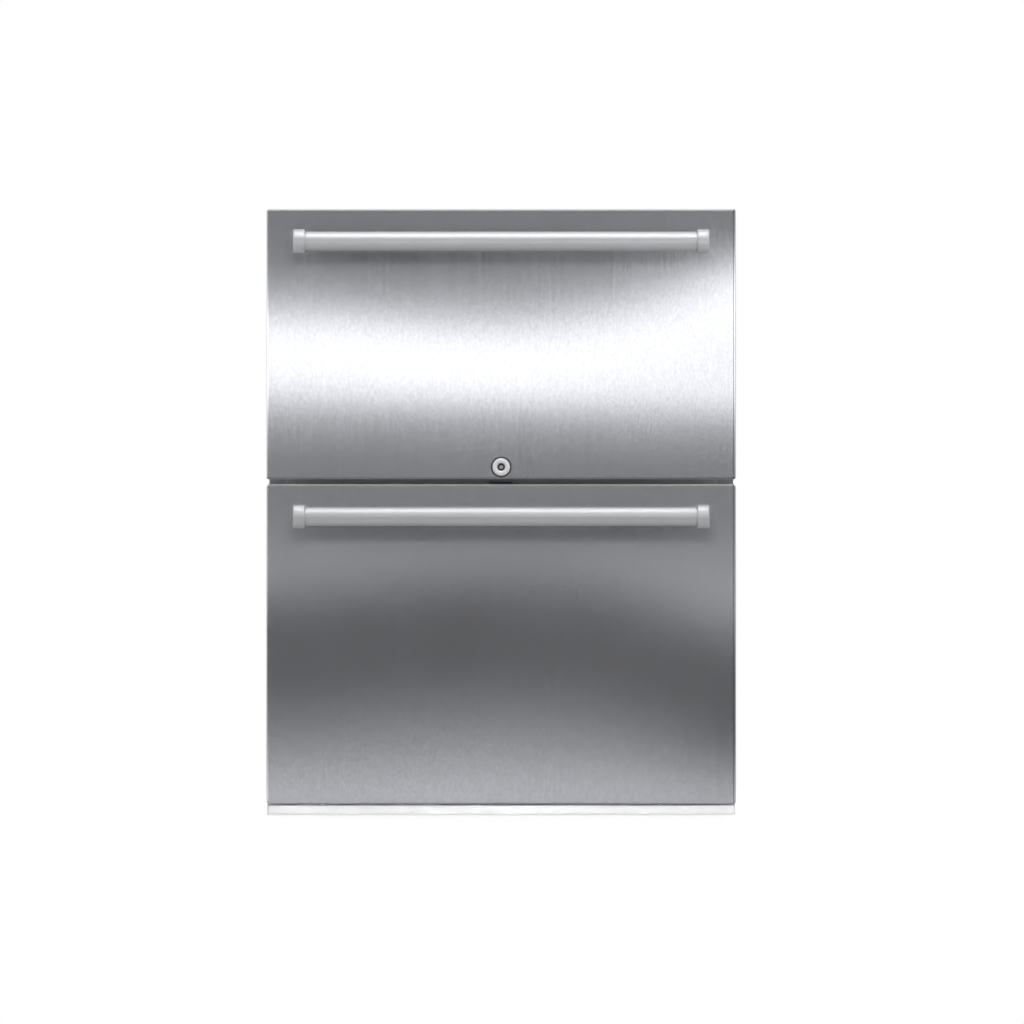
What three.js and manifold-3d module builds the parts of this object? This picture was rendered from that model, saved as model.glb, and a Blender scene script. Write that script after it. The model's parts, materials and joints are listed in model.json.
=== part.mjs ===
// Undercounter drawer refrigerator: two stainless drawers on telescopic slides in an insulated
// cabinet, with a compressor compartment low at the back.
// Millimetres, +Z up. The front looks along -Y, and the origin is on the floor, in the middle of
// the whole object's box. Inside the file, y runs back from the face of the drawer fronts.

import * as THREE from 'three';
import { mergeVertices, toCreasedNormals } from 'three/addons/utils/BufferGeometryUtils.js';
import Module from 'manifold-3d';

const wasm = await Module();
wasm.setup();

// ---------------------------------------------------------------- driving dimensions

// Gaps between pieces.
const seat = 0.3;
const running = 0.3;
const through = 1;

// Drawer fronts.
const frontWidth = 606;
const upperFrontHeight = 349;
const lowerFrontHeight = 413;
const frontGap = 6;
const floorReveal = 14.5;
const skinSheet = 1.2;
const skinReturn = 20;
const skinLip = 8;
const skinEdgeRadius = 2;
const skinCornerRadius = 3;
const frontThickness = 50;
const innerPanelWall = 2;
const innerPanelInset = 8;
const innerFlangeInset = 2;
const innerPanelRadius = 6;
const gasketDepth = 10;
const gasketWidth = 10;
const gasketInset = 4;
const gasketWaist = 2;
const gasketFoot = 1.5;
const gasketStrip = 3;

// Cabinet.
const bodyDepth = 610;
const sideReveal = 3;
const footHeight = 45;
const frontOverTop = 3;
const wrapperSheet = 1.2;
const wrapperBend = 5;
const wrapperFlange = 20;
const traySheet = 1.5;
const trayFrontFlange = 30;
const trayRearFlange = 14;
const backSheet = 1.2;
const backRib = 2;
const backRibWidth = 26;
const backRibFromEdge = 120;
const backRibEnd = 50;
const sheetBend = 2;
const coverCorner = 2;

// Liner and what stands in it.
const sideInsulation = 40;
const topInsulation = 44;
const bottomInsulation = 42;
const rearInsulation = 42;
const linerWall = 2;
const linerStepInsulation = 37;
const railHeight = 56;
const railDepth = 40;
const railSheet = 1.5;
const railLip = 19;
const railBend = 3;

// Machine compartment.
const machineDepth = 192;
const machineHeight = 215;
const bulkheadSheet = 1.2;
const bulkheadBend = 4;

// Telescopic slides.
const slideRearGap = 23;
const slideHeight = 45;
const slideWidth = 12.7;
const slideSheet = 1.2;
const slideFlange = 10.2;
const slideLip = 4.4;
const slideSetback = 3;
const slideBend = 0.7;

// Bins.
const binWall = 2.5;
const binCorner = 24;
const binFloorRadius = 12;
const binTaper = 7;
const binRimLip = 8;
const binSlideDrop = 12;
const upperBinHeight = 224;
const lowerBinHeight = 286;
const binFloorGap = 12;
const binRearGap = 12;

// Bar handles.
const handleDrop = 42;
const handleEndInset = 35;
const handleTube = 24;
const handleTubeWall = 1.5;
const handleAxisOut = 48;
const postDiameter = 30;
const postWidth = 15;
const postNeck = 18;
const postFoot = 26;
const postEdge = 1.2;
const postFlare = 4;
const collarWidth = 2;
const collarDiameter = 21;
const spigotLength = 14;

// Cam lock.
const lockRise = 16;
const bezelDiameter = 24;
const bezelProud = 3;
const bezelSteps = 4;
const bezelRing = 27;
const bezelRingProud = 0.9;
const bezelRingEdge = 0.5;
const barrelDiameter = 19;
const plugDiameter = 9;
const plugRecess = 1.5;
const plugEdge = 0.5;
const tailDiameter = 7;
const tailRoom = 2;
const tailHead = 2;
const keyLong = 6.4;
const keyWide = 1.6;
const keyDepth = 5;
const camLength = 16;
const camWidth = 10;
const camThickness = 2.4;
const camBack = 30;
const camSweepGap = 1.5;
const strikeSheet = 1.5;
const strikeWidth = 30;
const strikeLipRise = 9.5;
const strikeFootDrop = 6;
const strikeCamGap = 1.3;
const strikeBend = 1.5;

// Plinth and feet.
const plinthSheet = 1.5;
const plinthSetback = 26;
const plinthFloorGap = 1;
const kickSetback = 2;
const kickGap = 2;
const plinthSideInset = 1;
const plinthFlange = 16;
const plinthCorner = 3;
const footPad = 42;
const footPadEdge = 1.5;
const footPadRim = 5.5;
const footPadHeight = 9;
const footNeck = 24;
const footNeckRise = 2;
const footStem = 10;
const footStemRise = 10;
const footNut = 17;
const footNutHeight = 7;
const footInset = 52;
const bossWall = 5;
const bossCap = 3;

// Cold side.
const coverWidth = 400;
const coverDepth = 46;
const coverSheet = 1.8;
const coverEdge = 8;
const coverRadius = 16;
const coverFoot = 24;
const coverHead = 18;
const grilleDiameter = 108;
const grilleDrop = 92;
const grilleSlots = 7;
const returnSlots = 5;
const returnSlotWidth = 40;
const returnSlotHeight = 7;
const returnSlotRise = 23;
const coilSideRoom = 50;
const coilHeight = 118;
const coilDepth = 30;
const coilRise = 60;
const coldFins = 6;
const coldRows = 3;
const coldFanDiameter = 102;
const coldFanDepth = 14;
const coldMotorDiameter = 52;
const coldMotorLength = 16;
const consoleWidth = 250;
const consoleDepth = 64;
const consoleHeight = 18;
const consoleSetback = 18;
const consoleEdge = 4;
const consoleCorner = 10;

// Machine side.
const shellDiameter = 146;
const shellHeight = 140;
const shellFromLeft = 112;
const shellFoot = 105;
const shellTopRim = 105;
const shellTopFlat = 52;
const shellFootRise = 17;
const shellSeamRise = 73;
const shellSeamHalf = 3;
const shellSeamProud = 3;
const shellShoulderRise = 106;
const shellCrownRise = 130;
const terminalWidth = 48;
const terminalRise = 42;
const terminalHeight = 46;
const terminalProud = 6;
const mountHeight = 16;
const mountDiameter = 22;
const mountPlate = 3;
const mountSpreadX = 170;
const mountSpreadY = 128;
const stubDiameter = 9;
const stubLength = 14;
const stubSpread = 34;
const lowStubRise = 42;
const highStubRise = 92;
const hotCoilWidth = 40;
const hotCoilDepth = 160;
const hotCoilHeight = 150;
const hotCoilFromRight = 24;
const hotCoilRows = 3;
const hotFins = 7;
const coilTube = 9;
const finThickness = 1.2;
const hotFanDiameter = 138;
const hotFanDepth = 18;
const shroudSheet = 2;
const shroudCorner = 6;
const shroudCollar = 24;
const spiderDepth = 6;
const spiderArms = 3;
const spiderArmWidth = 6;
const spiderLap = 0.3;
const cupWall = 3;
const motorFit = 0.6;
const hotMotorDiameter = 58;
const hotMotorLength = 34;
const motorShaft = 6;
const motorNose = 6;
const motorNoseDepth = 3;
const hubDiameter = 34;
const hubEdge = 1.5;
const bladeCount = 5;
const bladeCover = 0.8;
const bladeThickness = 1.6;
const bladeRoot = 2;
const fanTipGap = 4;
const dripWidth = 150;
const dripDepth = 130;
const dripHeight = 24;
const dripWall = 2;
const dripCorner = 12;
const dripLean = 3;
const pipeDiameter = 8;
const pipeBend = 14;
const dischargeReach = 30;
const suctionReach = 24;
const drierReach = 70;
const drierDiameter = 24;
const drierLength = 96;
const drierCone = 10;
const drierNeck = 10;
const pipeTurn = 6;
const pipeStandOff = 2;
const coverLouvres = 5;
const louvreWidth = 150;
const louvreSpacing = 36;
const louvreOpen = 9;
const louvreHood = 1.5;
const louvrePitch = 26;
const louvreSheet = 1;
const louvreSideLap = 2;
const inletWidth = 48;
const inletHeight = 28;
const inletDepth = 22;
const inletCorner = 4;
const inletFlange = 4;
const inletWall = 4;
const inletFloor = 3;
const inletFromLeft = 50;
const inletPins = 3;
const inletPinWidth = 2;
const inletPinHeight = 6;
const inletPinPitch = 9;
const inletPinDrop = 6;

// Faceting.
const handleSides = 32;
const roundSides = 24;
const shellSides = 16;
const smallSides = 12;
const tubeSides = 6;
const nutSides = 6;
const legSides = 8;
const cornerSteps = 3;
const fewSteps = 2;
const chamferStep = 1;

// ---------------------------------------------------------------- places worked out from them

const lowerFrontTop = floorReveal + lowerFrontHeight;
const upperFrontBottom = lowerFrontTop + frontGap;
const upperFrontTop = upperFrontBottom + upperFrontHeight;
const cabinetWidth = frontWidth - sideReveal * 2;
const cabinetFront = frontThickness + gasketDepth;
const cabinetTop = upperFrontTop - frontOverTop;
const wrapperInside = cabinetWidth / 2 - wrapperSheet;
const rearPlane = bodyDepth - backRib;
const rearInside = rearPlane - backSheet;
const trayTop = footHeight + traySheet;
const linerHalf = cabinetWidth / 2 - sideInsulation - linerWall;
const linerFloor = footHeight + bottomInsulation + linerWall;
const linerCeiling = cabinetTop - topInsulation - linerWall;
const linerRear = bodyDepth - rearInsulation - linerWall;
const bulkheadY = bodyDepth - machineDepth;
const bulkheadZ = trayTop + machineHeight;
const linerStepY = bulkheadY - linerStepInsulation - linerWall;
const linerStepZ = bulkheadZ + linerStepInsulation + linerWall;
const railCentre = lowerFrontTop + frontGap / 2;
const railTop = railCentre + railHeight / 2;
const slideFront = cabinetFront + slideSetback;
const slideLength = linerRear - slideRearGap - slideFront;
const slideInside = linerHalf - seat - slideWidth;
const binHalf = slideInside - seat;
const handleReach = handleAxisOut + postDiameter / 2;
const handleLength = frontWidth - handleEndInset * 2;

// ---------------------------------------------------------------- geometry helpers

const weldDistance = 1e-3;

// Merges a geometry's vertices, drops its slivers and turns its faces outward.
function weld(geometry) {
  const bare = new THREE.BufferGeometry();
  bare.setAttribute('position', geometry.getAttribute('position').clone());
  bare.setIndex(geometry.index);
  const merged = mergeVertices(bare, weldDistance);
  const source = merged.index.array;
  const kept = [];
  const a = new THREE.Vector3();
  const b = new THREE.Vector3();
  const c = new THREE.Vector3();
  let volume = 0;
  for (let i = 0; i < source.length; i += 3) {
    const [p, q, r] = [source[i], source[i + 1], source[i + 2]];
    if (p === q || q === r || r === p) continue;
    kept.push(p, q, r);
    a.fromBufferAttribute(merged.attributes.position, p);
    b.fromBufferAttribute(merged.attributes.position, q);
    c.fromBufferAttribute(merged.attributes.position, r);
    volume += a.dot(b.cross(c));
  }
  if (volume < 0) kept.reverse();
  merged.setIndex(kept);
  return merged;
}

function toSolid(geometry) {
  const closed = weld(geometry);
  return new wasm.Manifold(new wasm.Mesh({
    numProp: 3,
    vertProperties: closed.attributes.position.array,
    triVerts: new Uint32Array(closed.index.array),
  }));
}

function toGeometry(solid) {
  const mesh = solid.getMesh();
  const geometry = new THREE.BufferGeometry();
  geometry.setAttribute('position', new THREE.BufferAttribute(mesh.vertProperties.slice(), 3));
  geometry.setIndex(new THREE.BufferAttribute(mesh.triVerts.slice(), 1));
  return geometry;
}

// Joins the first list of geometries and cuts the second out of them.
function carve(joined, removed = []) {
  let solid = toSolid(joined[0]);
  for (const geometry of joined.slice(1)) {
    solid = solid.add(toSolid(geometry));
  }
  for (const geometry of removed) {
    solid = solid.subtract(toSolid(geometry));
  }
  return toGeometry(solid);
}

function block(x0, x1, y0, y1, z0, z1) {
  const geometry = new THREE.BoxGeometry(x1 - x0, y1 - y0, z1 - z0);
  return geometry.translate((x0 + x1) / 2, (y0 + y1) / 2, (z0 + z1) / 2);
}

// A cylinder along X, Y or Z, from one end to the other, at a place in the two other directions.
function rod(axis, diameter, from, to, p, q, sides = smallSides) {
  const geometry = new THREE.CylinderGeometry(diameter / 2, diameter / 2, to - from, sides);
  const middle = (from + to) / 2;
  if (axis === 'x') return geometry.rotateZ(-Math.PI / 2).translate(middle, p, q);
  if (axis === 'z') return geometry.rotateX(Math.PI / 2).translate(p, q, middle);
  return geometry.translate(p, middle, q);
}

// A solid of revolution about Y; its profile is [radius, y] pairs from one end of the axis to the other.
function turned(profile, sides = roundSides) {
  return new THREE.LatheGeometry(profile.map(([r, y]) => new THREE.Vector2(r, y)), sides);
}

function rectangle(left, right, bottom, top) {
  return { left, right, bottom, top };
}

function inset(rect, by) {
  return rectangle(rect.left + by, rect.right - by, rect.bottom + by, rect.top - by);
}

const smallestCorner = 0.3;

// The points of a rectangle with rounded corners, the same number whatever its size.
function roundedPoints(rect, radius, steps = cornerSteps) {
  const r = Math.max(radius, smallestCorner);
  const corners = [
    [rect.right - r, rect.top - r, 0],
    [rect.left + r, rect.top - r, 1],
    [rect.left + r, rect.bottom + r, 2],
    [rect.right - r, rect.bottom + r, 3],
  ];
  return corners.flatMap(([x, y, quarter]) => Array.from({ length: steps + 1 }, (_, i) => {
    const angle = (quarter + i / steps) * Math.PI / 2;
    return new THREE.Vector2(x + r * Math.cos(angle), y + r * Math.sin(angle));
  }));
}

function ringAtY(rect, radius, y, steps = cornerSteps) {
  return roundedPoints(rect, radius, steps).map((p) => new THREE.Vector3(p.x, y, p.y));
}

function ringAtZ(rect, radius, z) {
  return roundedPoints(rect, radius).map((p) => new THREE.Vector3(p.x, p.y, z));
}

// Skins a row of rings. An open row is capped at both ends, and a closed one joins up with itself.
function loft(rings, closed = false) {
  const count = rings[0].length;
  const index = [];
  const bands = closed ? rings.length : rings.length - 1;
  for (let band = 0; band < bands; band += 1) {
    const near = band * count;
    const far = ((band + 1) % rings.length) * count;
    for (let i = 0; i < count; i += 1) {
      const j = (i + 1) % count;
      index.push(near + i, near + j, far + j);
      index.push(near + i, far + j, far + i);
    }
  }
  const last = (rings.length - 1) * count;
  for (let i = 1; i < count - 1 && !closed; i += 1) {
    index.push(0, i + 1, i);
    index.push(last, last + i, last + i + 1);
  }
  const geometry = new THREE.BufferGeometry();
  const numbers = rings.flat().flatMap((p) => [p.x, p.y, p.z]);
  geometry.setAttribute('position', new THREE.Float32BufferAttribute(numbers, 3));
  geometry.setIndex(index);
  return geometry;
}

// Pairs [inset, travel] of a quarter round of the given radius, from the flat face to the wall.
function edgeArc(radius, steps = cornerSteps) {
  return Array.from({ length: steps + 1 }, (_, i) => {
    const angle = (i / steps) * Math.PI / 2;
    return [radius * (1 - Math.sin(angle)), radius * (1 - Math.cos(angle))];
  });
}

function shapeOf(points) {
  return new THREE.Shape(points.map(([x, y]) => new THREE.Vector2(x, y)));
}

function extrude(shape, depth) {
  return new THREE.ExtrudeGeometry(shape, { depth, bevelEnabled: false, curveSegments: 6 });
}

// A section in X and Z, drawn out along Y.
function alongY(shape, y0, y1) {
  return extrude(shape, y1 - y0).rotateX(Math.PI / 2).translate(0, y1, 0);
}

// Turns a geometry drawn in X and Y, with its depth in Z, to stand in Y and Z with its depth in X.
function turnToX(geometry) {
  return geometry.applyMatrix4(new THREE.Matrix4().makeBasis(
    new THREE.Vector3(0, 1, 0),
    new THREE.Vector3(0, 0, 1),
    new THREE.Vector3(1, 0, 0),
  ));
}

// A section in Y and Z, drawn out along X.
function alongX(shape, x0, x1) {
  return turnToX(extrude(shape, x1 - x0)).translate(x0, 0, 0);
}

// A section in X and Y, drawn out along Z.
function alongZ(shape, z0, z1) {
  return extrude(shape, z1 - z0).translate(0, 0, z0);
}

// The outline of a folded sheet: a middle line of [a, b] points, its bends rounded, given a thickness.
function foldedSheet(line, thickness, bend = 0, steps = fewSteps) {
  const path = [];
  line.forEach((point, i) => {
    const here = new THREE.Vector2(...point);
    if (bend === 0 || i === 0 || i === line.length - 1) {
      path.push(here);
      return;
    }
    const back = new THREE.Vector2(...line[i - 1]).sub(here).setLength(bend);
    const on = new THREE.Vector2(...line[i + 1]).sub(here).setLength(bend);
    const curve = new THREE.QuadraticBezierCurve(here.clone().add(back), here, here.clone().add(on));
    path.push(...curve.getPoints(steps));
  });
  const side = (sign) => path.map((point, i) => {
    const before = path[Math.max(i - 1, 0)];
    const after = path[Math.min(i + 1, path.length - 1)];
    const into = i === 0 ? after.clone().sub(point) : point.clone().sub(before);
    const out = i === path.length - 1 ? into.clone() : after.clone().sub(point);
    const a = new THREE.Vector2(-into.y, into.x).normalize();
    const b = new THREE.Vector2(-out.y, out.x).normalize();
    const mitre = a.clone().add(b).normalize();
    const reach = (sign * thickness) / 2 / mitre.dot(a);
    return [point.x + mitre.x * reach, point.y + mitre.y * reach];
  });
  return shapeOf([...side(1), ...side(-1).reverse()]);
}

// A round tube along points. No bend takes up half or more of a stretch beside it.
function pipe(points, diameter, bend = pipeBend) {
  const most = 0.45;
  const path = new THREE.CurvePath();
  let from = points[0];
  points.slice(1, -1).forEach((corner, i) => {
    const into = points[i].distanceTo(corner);
    const out = points[i + 2].distanceTo(corner);
    const reach = Math.min(bend, into * most, out * most);
    const before = points[i].clone().sub(corner).setLength(reach).add(corner);
    const after = points[i + 2].clone().sub(corner).setLength(reach).add(corner);
    path.add(new THREE.LineCurve3(from, before));
    path.add(new THREE.QuadraticBezierCurve3(before, corner, after));
    from = after;
  });
  path.add(new THREE.LineCurve3(from, points[points.length - 1]));
  const stops = path.curves.flatMap((curve, i) => {
    const steps = curve.isLineCurve3 ? 1 : cornerSteps;
    return curve.getPoints(steps).slice(i === 0 ? 0 : 1);
  });
  return sweep(stops, diameter);
}

// Rings of points square to a row of stops, carried along without twisting.
function sweep(stops, diameter, sides = tubeSides) {
  const along = stops.map((stop, i) => {
    const before = stops[Math.max(i - 1, 0)];
    const after = stops[Math.min(i + 1, stops.length - 1)];
    return after.clone().sub(before).normalize();
  });
  const first = Math.abs(along[0].z) < 0.9 ? new THREE.Vector3(0, 0, 1) : new THREE.Vector3(1, 0, 0);
  let up = first.cross(along[0]).normalize();
  return loft(stops.map((stop, i) => {
    up = up.clone().sub(along[i].clone().multiplyScalar(up.dot(along[i]))).normalize();
    const across = along[i].clone().cross(up);
    return Array.from({ length: sides }, (_, k) => {
      const angle = (k / sides) * Math.PI * 2;
      return stop.clone()
        .addScaledVector(up, Math.cos(angle) * diameter / 2)
        .addScaledVector(across, Math.sin(angle) * diameter / 2);
    });
  }));
}

// ---------------------------------------------------------------- materials

function paint(color, roughness, metalness) {
  return () => new THREE.MeshStandardMaterial({ color, roughness, metalness });
}

const brushedSteel = paint(0xa9abb0, 0.36, 1.0);
const satinSteel = paint(0xc4c6c9, 0.28, 1.0);
const chrome = paint(0xd8dadd, 0.12, 1.0);
const darkSteel = paint(0x55575b, 0.4, 1.0);
const galvanised = paint(0x9aa0a4, 0.5, 0.9);
const zincPlate = paint(0xb9bcbf, 0.38, 0.95);
const cabinetPaint = paint(0x505255, 0.5, 0.1);
const palePaint = paint(0xededed, 0.55, 0.0);
const whitePlastic = paint(0xf1f2f2, 0.4, 0.0);
const greyPlastic = paint(0xd6d9db, 0.45, 0.0);
const blackPlastic = paint(0x1d1e20, 0.55, 0.0);
const gasketRubber = paint(0x8d8f92, 0.8, 0.0);
const foam = paint(0xe9dfb8, 0.9, 0.0);
const blackPaint = paint(0x17181a, 0.45, 0.2);
const copper = paint(0xb66f4a, 0.35, 1.0);
const finAluminium = paint(0xbfc3c7, 0.4, 1.0);

// ---------------------------------------------------------------- assembly

const refrigerator = new THREE.Group();
refrigerator.position.y = (handleReach - bodyDepth) / 2;

const creaseAngle = Math.PI / 6;

function place(group, name, geometry, material) {
  const welded = weld(geometry);
  const mesh = new THREE.Mesh(toCreasedNormals(welded, creaseAngle), material());
  mesh.name = name;
  group.add(mesh);
  return mesh;
}

function subGroup(parent, x, y, z) {
  const group = new THREE.Group();
  group.position.set(x, y, z);
  parent.add(group);
  return group;
}

// ---------------------------------------------------------------- drawer front

function frontRect(height) {
  return rectangle(-frontWidth / 2, frontWidth / 2, 0, height);
}

// The raised box on the back of a front; it starts above the front's foot where that hangs down.
function hatRect(height, hatBottom) {
  const rect = inset(frontRect(height), innerPanelInset);
  return rectangle(rect.left, rect.right, hatBottom, rect.top);
}

// A pan folded from sheet: flat face, rounded edges, returns and a lip turned in at the back.
function frontSkin(height) {
  const rect = frontRect(height);
  const ring = (by, y) => ringAtY(inset(rect, by), skinCornerRadius - by, y);
  const innerRadius = skinEdgeRadius - skinSheet;
  const outside = edgeArc(skinEdgeRadius).map(([by, y]) => ring(by, y));
  const inside = edgeArc(innerRadius, fewSteps).reverse()
    .map(([by, y]) => ring(by + skinSheet, y + skinSheet));
  return loft([
    ...outside,
    ring(0, skinReturn),
    ring(skinLip, skinReturn),
    ring(skinLip, skinReturn - skinSheet),
    ring(skinSheet, skinReturn - skinSheet),
    ...inside,
  ]);
}

function frontCore(height, hatBottom) {
  const rect = frontRect(height);
  const hat = inset(hatRect(height, hatBottom), innerPanelWall + seat);
  const around = skinSheet + seat;
  const shoulder = skinReturn - skinSheet - seat;
  const chamfer = skinEdgeRadius;
  return loft([
    ringAtY(inset(rect, around + chamfer), skinCornerRadius, around),
    ringAtY(inset(rect, around), skinCornerRadius, around + chamfer),
    ringAtY(inset(rect, around), skinCornerRadius, shoulder),
    ringAtY(hat, innerPanelRadius, shoulder),
    ringAtY(hat, innerPanelRadius, frontThickness - innerPanelWall - seat - chamfer),
    ringAtY(inset(hat, chamfer), innerPanelRadius, frontThickness - innerPanelWall - seat),
  ]);
}

// A dished panel: its flange covers the pan's lip, and its box stands back to carry the gasket.
function innerPanel(height, hatBottom) {
  const flange = inset(frontRect(height), innerFlangeInset);
  const hat = hatRect(height, hatBottom);
  const inner = inset(hat, innerPanelWall);
  const near = skinReturn + seat;
  const round = innerPanelWall;
  return loft([
    ...edgeArc(round).map(([by, y]) => ringAtY(inset(hat, by), innerPanelRadius, frontThickness - y)),
    ringAtY(hat, innerPanelRadius, near + innerPanelWall),
    ringAtY(flange, skinCornerRadius, near + innerPanelWall),
    ringAtY(flange, skinCornerRadius, near),
    ringAtY(inner, innerPanelRadius - innerPanelWall, near),
    ringAtY(inner, innerPanelRadius - innerPanelWall, frontThickness - innerPanelWall),
  ]);
}

// A bellows gasket: a frame with a waist drawn in between its foot and its magnet strip.
function gasket(height, hatBottom) {
  const outer = inset(hatRect(height, hatBottom), gasketInset);
  const from = frontThickness + seat;
  const to = cabinetFront - seat;
  const foot = from + gasketFoot;
  const strip = to - gasketStrip;
  const waist = (foot + strip) / 2;
  const ring = (by, y) => ringAtY(inset(outer, by), innerPanelRadius, y, fewSteps);
  return loft([
    ring(0, from),
    ring(0, foot),
    ring(gasketWaist, waist),
    ring(0, strip),
    ring(0, to),
    ring(gasketWidth, to),
    ring(gasketWidth, strip),
    ring(gasketWidth - gasketWaist, waist),
    ring(gasketWidth, foot),
    ring(gasketWidth, from),
  ], true);
}

// ---------------------------------------------------------------- bar handle

// The end post: round where it holds the tube, waisted behind it, spread again at its foot.
function handlePost() {
  const shape = new THREE.Shape();
  const radius = postDiameter / 2 - postEdge;
  const neck = postNeck / 2 - postEdge;
  const foot = postFoot / 2 - postEdge;
  const leave = Math.asin(neck / radius);
  const root = -seat - postEdge;
  shape.absarc(-handleAxisOut, 0, radius, leave, Math.PI * 2 - leave, false);
  shape.quadraticCurveTo(root - postFlare, -neck, root, -foot);
  shape.lineTo(root, foot);
  shape.quadraticCurveTo(root - postFlare, neck, -handleAxisOut + radius * Math.cos(leave), neck);
  const bar = turnToX(new THREE.ExtrudeGeometry(shape, {
    depth: postWidth - postEdge * 2,
    bevelThickness: postEdge,
    bevelSize: postEdge,
    bevelSegments: 1,
    curveSegments: 6,
  })).translate(-postWidth + postEdge, 0, 0);
  const spigot = handleTube - handleTubeWall * 2 - seat * 2;
  const middle = -handleAxisOut;
  return carve([
    bar,
    rod('x', collarDiameter, -postEdge, collarWidth, middle, 0, shellSides),
    rod('x', spigot, -postEdge, collarWidth + spigotLength, middle, 0, smallSides),
  ]);
}

function handleBar() {
  const end = handleLength / 2 - postWidth - collarWidth - seat;
  const outer = handleTube / 2;
  const inner = outer - handleTubeWall;
  const profile = [[outer, -end], [outer, end], [inner, end], [inner, -end], [outer, -end]];
  return turned(profile, handleSides).rotateZ(-Math.PI / 2).translate(0, -handleAxisOut, 0);
}

function addHandle(drawer, prefix, height) {
  const handle = subGroup(drawer, 0, 0, height - handleDrop);
  place(handle, `${prefix}_handle_bar`, handleBar(), satinSteel);
  const post = handlePost();
  const inward = handleLength / 2 - postWidth;
  const left = place(handle, `${prefix}_handle_post_left`, post, satinSteel);
  left.position.x = -inward;
  const right = place(handle, `${prefix}_handle_post_right`, post, satinSteel);
  right.position.x = inward;
  right.rotation.y = Math.PI;
}

// ---------------------------------------------------------------- bins

function binRect(depth) {
  const front = frontThickness + seat;
  return rectangle(-binHalf - binRimLip, binHalf + binRimLip, front, front + depth);
}

// A tapered tub with a turned-out rim that passes over the slides.
function bin(depth, height) {
  const rim = binRect(depth);
  const body = inset(rim, binRimLip);
  const ring = (by, z) => ringAtZ(inset(body, by), binCorner - by, z);
  const slideBand = height - slideHeight - binSlideDrop;
  const rimRing = (z) => ringAtZ(rim, binCorner + binRimLip, z);
  const outside = edgeArc(binFloorRadius).map(([by, z]) => ring(by + binTaper, z));
  const inside = edgeArc(binFloorRadius - binWall, fewSteps).reverse();
  return loft([
    ...outside,
    ring(0, slideBand),
    ring(0, height - binWall),
    rimRing(height - binWall),
    rimRing(height),
    ring(binWall, height),
    ring(binWall, slideBand),
    ...inside.map(([by, z]) => ring(by + binTaper + binWall, z + binWall)),
  ]);
}

// ---------------------------------------------------------------- telescopic slides

// Three members nest: each outer one's lips close round the flanges of the next.
function cabinetMember() {
  const half = slideSheet / 2;
  const z = slideHeight / 2 - half;
  const x = slideFlange - half;
  const lip = slideHeight / 2 - slideLip;
  return foldedSheet(
    [[x, lip], [x, z], [half, z], [half, -z], [x, -z], [x, -lip]],
    slideSheet,
    slideBend,
    chamferStep,
  );
}

function middleMember() {
  const half = slideSheet / 2;
  const step = slideSheet + running;
  const z = slideHeight / 2 - step - half;
  const x = slideFlange - step - half;
  const lip = slideHeight / 2 - step - slideLip;
  return foldedSheet(
    [[x, lip], [x, z], [step + half, z], [step + half, -z], [x, -z], [x, -lip]],
    slideSheet,
    slideBend,
    chamferStep,
  );
}

function drawerMember() {
  const half = slideSheet / 2;
  const step = slideSheet + running;
  const z = slideHeight / 2 - step * 2 - half;
  const arm = slideHeight / 2 - step - slideLip - running - half;
  const hook = slideFlange - step * 2 - half;
  const near = step * 2 + half;
  const web = slideWidth - half;
  return foldedSheet([
    [near, z], [hook, z], [hook, arm], [web, arm],
    [web, -arm], [hook, -arm], [hook, -z], [near, -z],
  ], slideSheet);
}

function addSlides(parent, prefix, centreZ) {
  [['left', 1], ['right', -1]].forEach(([side, inward]) => {
    const slide = subGroup(parent, -inward * (linerHalf - seat), slideFront, centreZ);
    slide.scale.x = inward;
    place(slide, `${prefix}_slide_cabinet_${side}`, alongY(cabinetMember(), 0, slideLength), zincPlate);
    place(slide, `${prefix}_slide_middle_${side}`, alongY(middleMember(), 0, slideLength), zincPlate);
    place(slide, `${prefix}_slide_drawer_${side}`, alongY(drawerMember(), 0, slideLength), zincPlate);
  });
}

// ---------------------------------------------------------------- drawers

function addDrawer(prefix, spec) {
  const drawer = subGroup(refrigerator, 0, 0, spec.bottom);
  const skin = carve([frontSkin(spec.height)], spec.skinCuts);
  const panel = carve([innerPanel(spec.height, spec.hatBottom)], spec.panelCuts);
  const core = carve([frontCore(spec.height, spec.hatBottom)], spec.coreCuts);
  place(drawer, `${prefix}_front_skin`, skin, brushedSteel);
  place(drawer, `${prefix}_front_core`, core, foam);
  place(drawer, `${prefix}_inner_panel`, panel, whitePlastic);
  place(drawer, `${prefix}_gasket`, gasket(spec.height, spec.hatBottom), gasketRubber);
  addHandle(drawer, prefix, spec.height);
  const store = subGroup(refrigerator, 0, 0, spec.binBottom);
  place(store, `${prefix}_bin`, bin(spec.binDepth, spec.binHeight), greyPlastic);
  const slideZ = spec.binBottom + spec.binHeight - binSlideDrop - slideHeight / 2;
  addSlides(refrigerator, prefix, slideZ);
  return drawer;
}

// ---------------------------------------------------------------- cam lock

const camNear = camBack - camThickness;

// Room for the lock in each layer of the upper front.
function lockCuts() {
  const swing = camLength + camSweepGap;
  const bore = barrelDiameter + seat * 2;
  const slotLeft = camWidth / 2 + camSweepGap;
  const from = camNear - camSweepGap;
  const to = camBack + seat + tailHead + camSweepGap;
  const slotTop = innerPanelInset + innerPanelWall + through;
  return {
    skin: [rod('y', bore, -through, skinReturn + through, 0, lockRise, roundSides)],
    panel: [block(-slotLeft, swing, from, to, through, slotTop)],
    core: [
      rod('y', bore, 0, skinReturn, 0, lockRise, roundSides),
      rod('y', tailDiameter + tailRoom * 2, skinReturn - through, camNear, 0, lockRise),
      rod('y', swing * 2, from, to, 0, lockRise, shellSides),
    ],
  };
}

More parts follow.
